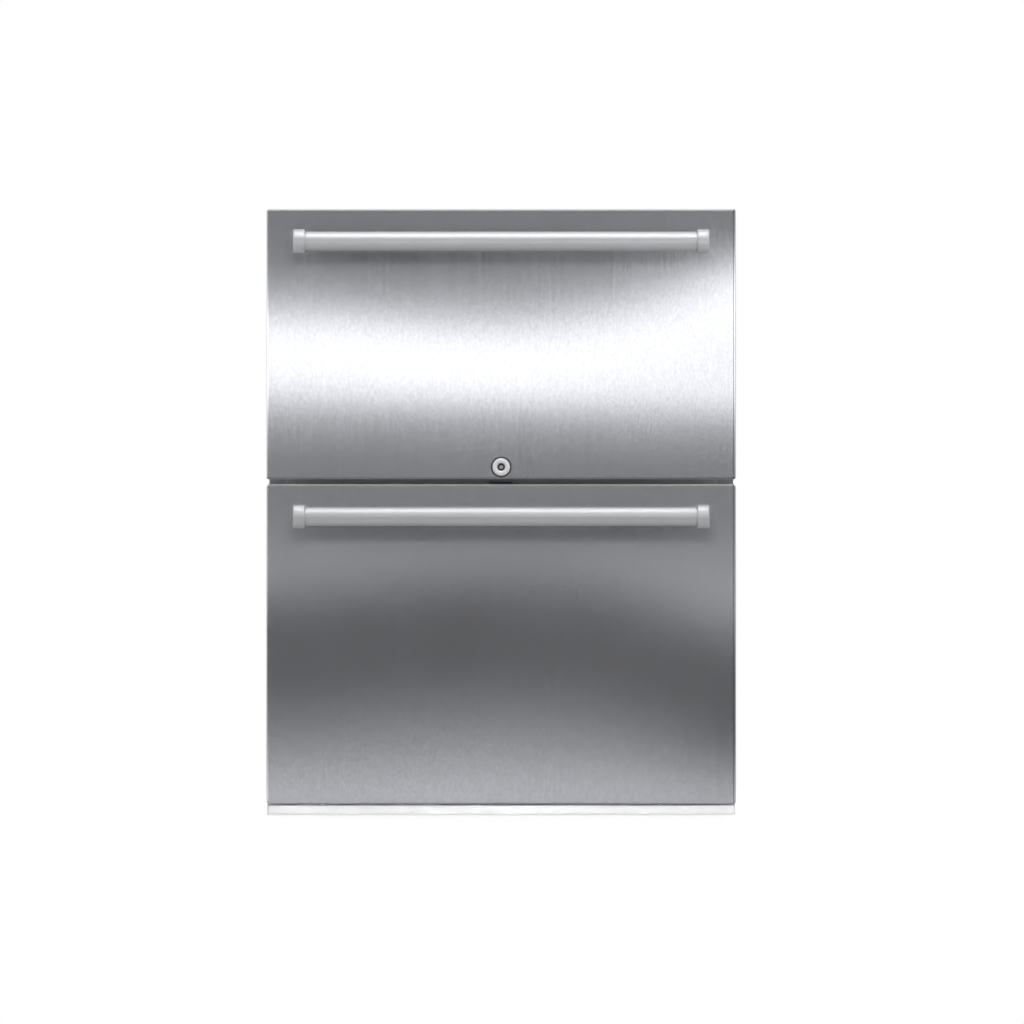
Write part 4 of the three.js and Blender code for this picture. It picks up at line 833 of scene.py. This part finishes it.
def screw_head(name):
    """A low pan head with a cross recess."""
    r = SCREW_RADIUS
    h = SCREW_HEIGHT
    dome = []
    for angle in SCREW_DOME_ANGLES:
        rise = SCREW_RIM + (1 - SCREW_RIM) * math.sin(angle)
        dome.append(circle(r * math.cos(angle), h * rise))
    mouth = circle(r * CROSS_MOUTH, h, lobes=CROSS_ARMS, depth=CROSS_DEPTH)
    floor = circle(r * CROSS_FLOOR, h * CROSS_FLOOR_HEIGHT, lobes=CROSS_ARMS, depth=CROSS_DEPTH)
    return stacked(name, [circle(r, 0.0), *dome, mouth, floor])


def screw_places(low, high, count):
    """Evenly spaced places between low and high, set in from both."""
    length = high - low - SCREW_INSET * 2
    return [low + SCREW_INSET + length * i / (count - 1) for i in range(count)]


def rear_screws(looks):
    """Screws round the back panel and the rear cover, set in from their edges."""
    face = rear_plane()
    for sheet, count in SCREWS_ALONG.items():
        low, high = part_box(sheet)
        between = range(1, count - 1)
        for column, x in enumerate(screw_places(low.x, high.x, count)):
            for row, z in enumerate(screw_places(low.z, high.z, count)):
                if column in between and row in between:
                    continue
                head = screw_head(f"{sheet}_screw_{column}_{row}")
                fit(head, (x, face, z), (0, 1, 0), looks["zinc_plate"])


def back_sheet(looks):
    """The back panel with its three pressed ribs, their shoulders rolled."""
    low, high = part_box("back_panel")
    face = high.y - RIB_PROUD
    middle = ((low.x + high.x) / 2, (low.z + high.z) / 2)
    width = high.x - low.x
    height = high.z - low.z
    body = bmesh.new()
    edge = SHEET_EDGE
    rings = []
    for inset, y in ((edge, low.y), (0.0, low.y + edge), (0.0, face - edge), (edge, face)):
        rings.append(standing_ring(middle, width - inset * 2, height - inset * 2, SHEET_CORNER - inset, y))
    add_skin(body, rings)
    for column in (-1, 0, 1):
        at = (column * (high.x - RIB_FROM_EDGE), middle[1])
        rings = []
        for inset, rise in RIB_STEPS:
            half = RIB_WIDTH / 2 - inset
            length = height - (RIB_END + inset) * 2
            rings.append(standing_ring(at, half * 2, length, half * RIB_ROUND, face + RIB_PROUD * rise))
        add_skin(body, rings)
    piece = dress(mesh_piece("back_sheet", body), "cabinet", looks["galvanised_sheet"])
    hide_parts("back_panel")


def rail_ends(look):
    """The small plates that close the centre rail's ends, in the gap between the fronts; they also cover
    the liner's pale flange there and stand in for the gap's shade.
    """
    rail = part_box("centre_rail")
    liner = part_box("inner_liner")
    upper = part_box("upper_front_skin")[0].z
    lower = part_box("lower_front_skin")[1].z
    width = liner[1].x - rail[1].x
    height = upper - lower + RAIL_END_ROOM
    for hand, side in (("left", -1), ("right", 1)):
        plate = rounded_plate(f"rail_end_{hand}", width, height, RAIL_END_CORNER, RAIL_END_STEPS)
        at = (side * (rail[1].x + width / 2), liner[0].y, (upper + lower) / 2)
        fit(plate, at, (0, -1, 0), look)


def foam_plugs(looks):
    """The two plugs that close the foam's filling holes in the back panel, each with a dished middle."""
    low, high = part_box("back_panel")
    for hand, side in (("left", -1), ("right", 1)):
        spot = (side * high.x * PLUG_SHARE, rear_plane(), (low.z + high.z) / 2)
        plug = turned_piece(f"foam_plug_{hand}", PLUG_RADIUS, PLUG_SIDES, PLUG_STEPS)
        fit(plug, spot, (0, 1, 0), looks["black_plastic"])


def console_fittings(looks):
    """The light's lens under the console, and a row of plain buttons on its front."""
    low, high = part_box("control_console")
    middle = centre_of("control_console")
    width = (high.x - low.x) * LENS_WIDTH_SHARE
    depth = (high.y - low.y) * LENS_DEPTH_SHARE
    lens = rounded_plate("light_lens", width, depth, LENS_CORNER, LENS_STEPS)
    milky = milky_plastic("milky_lens")
    fit(lens, (middle.x, middle.y, low.z), (0, 0, -1), milky)
    for i in range(BUTTONS):
        spot = (middle.x + (i - (BUTTONS - 1) / 2) * BUTTON_PITCH, low.y, middle.z)
        button = turned_piece(f"console_button_{i}", BUTTON_RADIUS, BUTTON_SIDES, BUTTON_STEPS)
        fit(button, spot, (0, -1, 0), looks["black_plastic"])


# ---------------------------------------------------------------- light, floor and world

WORLD_AHEAD = 0.06
WORLD_BEHIND = 0.55
WORLD_MIRRORED = 0.8

FLOOR_HALF = 60.0
FLOOR_GLOW = 0.75
FLOOR_TONE = 0.46
FLOOR_MATT = 0.8
FLOOR_NEAR = 0.8
FLOOR_FAR = 2.2

CARD_AHEAD = 0.62
CARD_HALF = 0.9
CARD_FOOT = 0.002
CARD_HEAD = 1.15
CARD_GAIN = 1.98
CARD_BEND_HALF = 0.3

# The card's bands. Each step has the two heights between which it rises, and what it rises from and to.
UPPER_BOW = (0.55, 1.25)
FRINGE_BOW_SHARE = 0.5
BAND_LEAN = 0.022
CORE_HEAD = (0.650, 0.600, 0.0, 0.15)
CORE_FOOT = (0.520, 0.575)
FRINGE_HEAD = (0.722, 0.655, 0.0, 0.14)
MAIN_HEAD = (0.678, 0.591, 0.0, 0.61)
MAIN_FOOT = (0.498, 0.559, 0.0, 0.72)
FRINGE_FOOT = (0.447, 0.541, 0.0, 0.28)
LOWER_BOW = (0.58, 0.99)
LEDGE_SLOPE = (0.407, 0.278, 0.085, 0.212)
LEDGE_FOOT = (0.262, 0.358)
FOOT_HEAD = 0.213
FOOT_BOW_SHARE = 1.45
FOOT_CURVE = 1.7
FOOT_LEVEL = 0.48

SHADE_DROP = 0.004
SHADE_HALF = 0.012
SHADE_DEPTH = 1.0

# The narrow lamp that lights the pale strip at the floor.
FOOT_LAMP_AHEAD = 0.1
FOOT_LAMP_HEIGHT = 0.0078
FOOT_LAMP_SIZE = (0.62, 0.010)
FOOT_LAMP_WATTS = 0.0079
FOOT_LAMP_DEGREES = 10

WHITE = (1, 1, 1, 1)


def quad(name, corners):
    """One four-sided face."""
    mesh = bpy.data.meshes.new(name)
    mesh.from_pydata(corners, [], [(0, 1, 2, 3)])
    return link_mesh(name, mesh)


def bare_material(name):
    """A material with an empty node tree."""
    material = bpy.data.materials.new(name)
    material.use_nodes = True
    material.node_tree.nodes.clear()
    return material, material.node_tree


def grey(level):
    """An opaque grey."""
    return (level, level, level, 1)


def make_world():
    """White to the camera, pale where metal mirrors it, and a fill that is stronger from behind."""
    world = bpy.data.worlds.new("studio")
    scene.world = world
    world.use_nodes = True
    tree = world.node_tree
    tree.nodes.clear()
    path = add(tree, "ShaderNodeLightPath").outputs
    seen = maths(tree, "ADD", path["Is Camera Ray"], path["Is Transmission Ray"], clamp=True)
    direction = add(tree, "ShaderNodeTexCoord").outputs["Generated"]
    behind = add(tree, "ShaderNodeSeparateXYZ", {0: direction}).outputs["Y"]
    fill = ramp(tree, behind, 0.0, 1.0, WORLD_AHEAD, WORLD_BEHIND)
    mirrored = maths(tree, "MULTIPLY", path["Is Glossy Ray"], WORLD_MIRRORED)
    level = strongest(tree, [mirrored, fill, seen])
    glow = add(tree, "ShaderNodeBackground", {0: WHITE, 1: level}).outputs[0]
    add(tree, "ShaderNodeOutputWorld", {0: glow})


def make_floor():
    """A wide pale floor: it keeps the object's shadow, and is plain white to the camera far off."""
    h = FLOOR_HALF
    floor = quad("floor", [(-h, -h, 0), (h, -h, 0), (h, h, 0), (-h, h, 0)])
    material, tree = bare_material("floor")
    seen = add(tree, "ShaderNodeLightPath").outputs["Is Camera Ray"]
    away = add(tree, "ShaderNodeVectorMath", {0: object_place(tree)}, operation="LENGTH").outputs["Value"]
    far = step(tree, away, FLOOR_NEAR, FLOOR_FAR)
    matt = add(tree, "ShaderNodeBsdfDiffuse", {0: grey(FLOOR_MATT)}).outputs[0]
    glow = add(tree, "ShaderNodeEmission", {0: WHITE, 1: FLOOR_GLOW}).outputs[0]
    dim = add(tree, "ShaderNodeBsdfDiffuse", {0: grey(FLOOR_TONE)}).outputs[0]
    near = add(tree, "ShaderNodeAddShader", {0: dim, 1: glow}).outputs[0]
    white = add(tree, "ShaderNodeEmission", {0: WHITE, 1: 1.0}).outputs[0]
    shown = add(tree, "ShaderNodeMixShader", {0: far, 1: near, 2: white}).outputs[0]
    mixed = add(tree, "ShaderNodeMixShader", {0: seen, 1: matt, 2: shown}).outputs[0]
    add(tree, "ShaderNodeOutputMaterial", {0: mixed})
    floor.data.materials.append(material)


def mirrored_place(tree):
    """Where on the fronts the camera sees this point of the card: X, up to a limit, and Z."""
    share = CARD_AHEAD / CAMERA_DISTANCE
    where = add(tree, "ShaderNodeNewGeometry").outputs["Position"]
    axes = add(tree, "ShaderNodeSeparateXYZ", {0: where}).outputs
    eye = scene.camera.location
    spots = []
    for axis, at_eye in (("X", eye.x), ("Z", eye.z)):
        moved = maths(tree, "ADD", axes[axis], at_eye * share)
        spots.append(maths(tree, "DIVIDE", moved, 1 + share))
    inward = maths(tree, "MINIMUM", spots[0], CARD_BEND_HALF)
    return maths(tree, "MAXIMUM", inward, -CARD_BEND_HALF), spots[1]


def bow(tree, across, even, skew):
    """How far a band of the reflection bends at this place across: even * x^2 + skew * x^3."""
    square = maths(tree, "MULTIPLY", across, across)
    slope = maths(tree, "ADD", maths(tree, "MULTIPLY", across, skew), even)
    return maths(tree, "MULTIPLY", square, slope)


def upper_band(tree, across, height):
    """The bright band over the upper front: level below, bending up at the sides above."""
    bent = bow(tree, across, *UPPER_BOW)
    sunk = maths(tree, "SUBTRACT", height, bent)
    leaned = maths(tree, "ADD", height, maths(tree, "MULTIPLY", across, BAND_LEAN))
    fringe = maths(tree, "SUBTRACT", height, maths(tree, "MULTIPLY", bent, FRINGE_BOW_SHARE))
    core_head = step(tree, sunk, *CORE_HEAD)
    core = maths(tree, "MULTIPLY", core_head, step(tree, sunk, *CORE_FOOT))
    head = total(tree, core, step(tree, fringe, *FRINGE_HEAD), step(tree, sunk, *MAIN_HEAD))
    foot = total(tree, step(tree, leaned, *MAIN_FOOT), step(tree, leaned, *FRINGE_FOOT))
    return maths(tree, "MULTIPLY", head, foot)


def lower_ledge(tree, across, height):
    """The dim light across the top of the lower front, bending down at the sides."""
    highlighted = maths(tree, "ADD", height, bow(tree, across, *LOWER_BOW))
    slope = ramp(tree, height, *LEDGE_SLOPE)
    return maths(tree, "MULTIPLY", slope, step(tree, highlighted, *LEDGE_FOOT))


def lower_foot(tree, across, height):
    """The light that grows towards the foot of the lower front, lower at the sides."""
    fall = maths(tree, "MULTIPLY", bow(tree, across, *LOWER_BOW), FOOT_BOW_SHARE)
    reach = maths(tree, "SUBTRACT", FOOT_HEAD, fall)
    above = maths(tree, "DIVIDE", height, reach)
    left = maths(tree, "SUBTRACT", 1.0, above, clamp=True)
    return maths(tree, "MULTIPLY", maths(tree, "POWER", left, FOOT_CURVE), FOOT_LEVEL)


def handle_shade(tree, across, height, handle):
    """The dim stripe that a handle's own shade leaves just below it."""
    low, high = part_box(handle)
    middle = low.z - SHADE_DROP
    off = maths(tree, "ABSOLUTE", maths(tree, "SUBTRACT", height, middle))
    aside = maths(tree, "ABSOLUTE", across)
    near = step(tree, off, SHADE_HALF * 2, 0.0)
    beside = step(tree, aside, high.x + SHADE_HALF, high.x - SHADE_HALF)
    shaded = maths(tree, "MULTIPLY", near, beside)
    return maths(tree, "SUBTRACT", 1.0, maths(tree, "MULTIPLY", shaded, SHADE_DEPTH))


def make_card():
    """The studio card that the flat fronts mirror. Only mirrored rays meet it."""
    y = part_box("upper_front_skin")[0].y - CARD_AHEAD
    w = CARD_HALF
    card = quad(
        "front_card",
        [(-w, y, CARD_FOOT), (w, y, CARD_FOOT), (w, y, CARD_HEAD), (-w, y, CARD_HEAD)],
    )
    material, tree = bare_material("front_card")
    across, height = mirrored_place(tree)
    bands = total(
        tree,
        upper_band(tree, across, height),
        lower_ledge(tree, across, height),
        lower_foot(tree, across, height),
    )
    for handle in ("upper_handle_bar", "lower_handle_bar"):
        bands = maths(tree, "MULTIPLY", bands, handle_shade(tree, across, height, handle))
    level = maths(tree, "MULTIPLY", bands, CARD_GAIN)
    glow = add(tree, "ShaderNodeEmission", {0: WHITE, 1: level}).outputs[0]
    add(tree, "ShaderNodeOutputMaterial", {0: glow})
    card.data.materials.append(material)
    for ray in ("camera", "diffuse", "shadow", "transmission", "volume_scatter"):
        setattr(card, f"visible_{ray}", False)


def lamp(name, place_at, aim, size, watts, mirrored=False, lights=True):
    """A soft rectangular lamp, seen as a reflection, as light on matt surfaces, or as both."""
    data = bpy.data.lights.new(name, "AREA")
    data.shape = "RECTANGLE"
    data.size = size[0]
    data.size_y = size[1]
    data.energy = watts
    obj = bpy.data.objects.new(name, data)
    scene.collection.objects.link(obj)
    obj.location = place_at
    obj.rotation_euler = (Vector(aim) - Vector(place_at)).to_track_quat("-Z", "Y").to_euler()
    obj.visible_camera = False
    obj.visible_glossy = mirrored
    obj.visible_diffuse = lights
    return obj


def make_lamps():
    """Each lamp has its place, the point that it is aimed at, its size and its power."""
    lamp("overhead", (0, -0.85, 2.3), (0, -0.3, 0.6), (1.5, 0.45), 12.5, mirrored=True, lights=False)
    lamp("front", (0, -6.3, 2.75), (0, -0.3, 0.5), (2.4, 0.7), 182)
    lamp("ahead", (0, -6.3, 0.43), (0, -0.3, 0.43), (3.0, 0.7), 44)
    lamp("right", (2.4, 0.3, 1.5), (0, 0, 0.4), (1.4, 1.8), 20)
    lamp("left", (-2.4, 0.6, 1.8), (0, 0, 0.4), (1.4, 1.8), 14)
    lamp("back", (-0.4, 2.6, 2.0), (0, 0, 0.4), (2.2, 1.4), 40)
    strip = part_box("plinth")[0].y
    place_at = (0, strip - FOOT_LAMP_AHEAD, FOOT_LAMP_HEIGHT)
    foot = lamp("foot", place_at, (0, strip, FOOT_LAMP_HEIGHT), FOOT_LAMP_SIZE, FOOT_LAMP_WATTS)
    foot.data.spread = math.radians(FOOT_LAMP_DEGREES)


# ---------------------------------------------------------------- settings and finish


def set_view():
    """Colours render as they are written."""
    scene.view_settings.view_transform = "Standard"


set_view()
make_camera()
make_world()
make_floor()
make_card()
make_lamps()
looks = dress_nodes()
make_handles(looks)
back_sheet(looks)
rail_ends(nodes["centre_rail"].material_slots[0].material)
rear_screws(looks)
foam_plugs(looks)
console_fittings(looks)
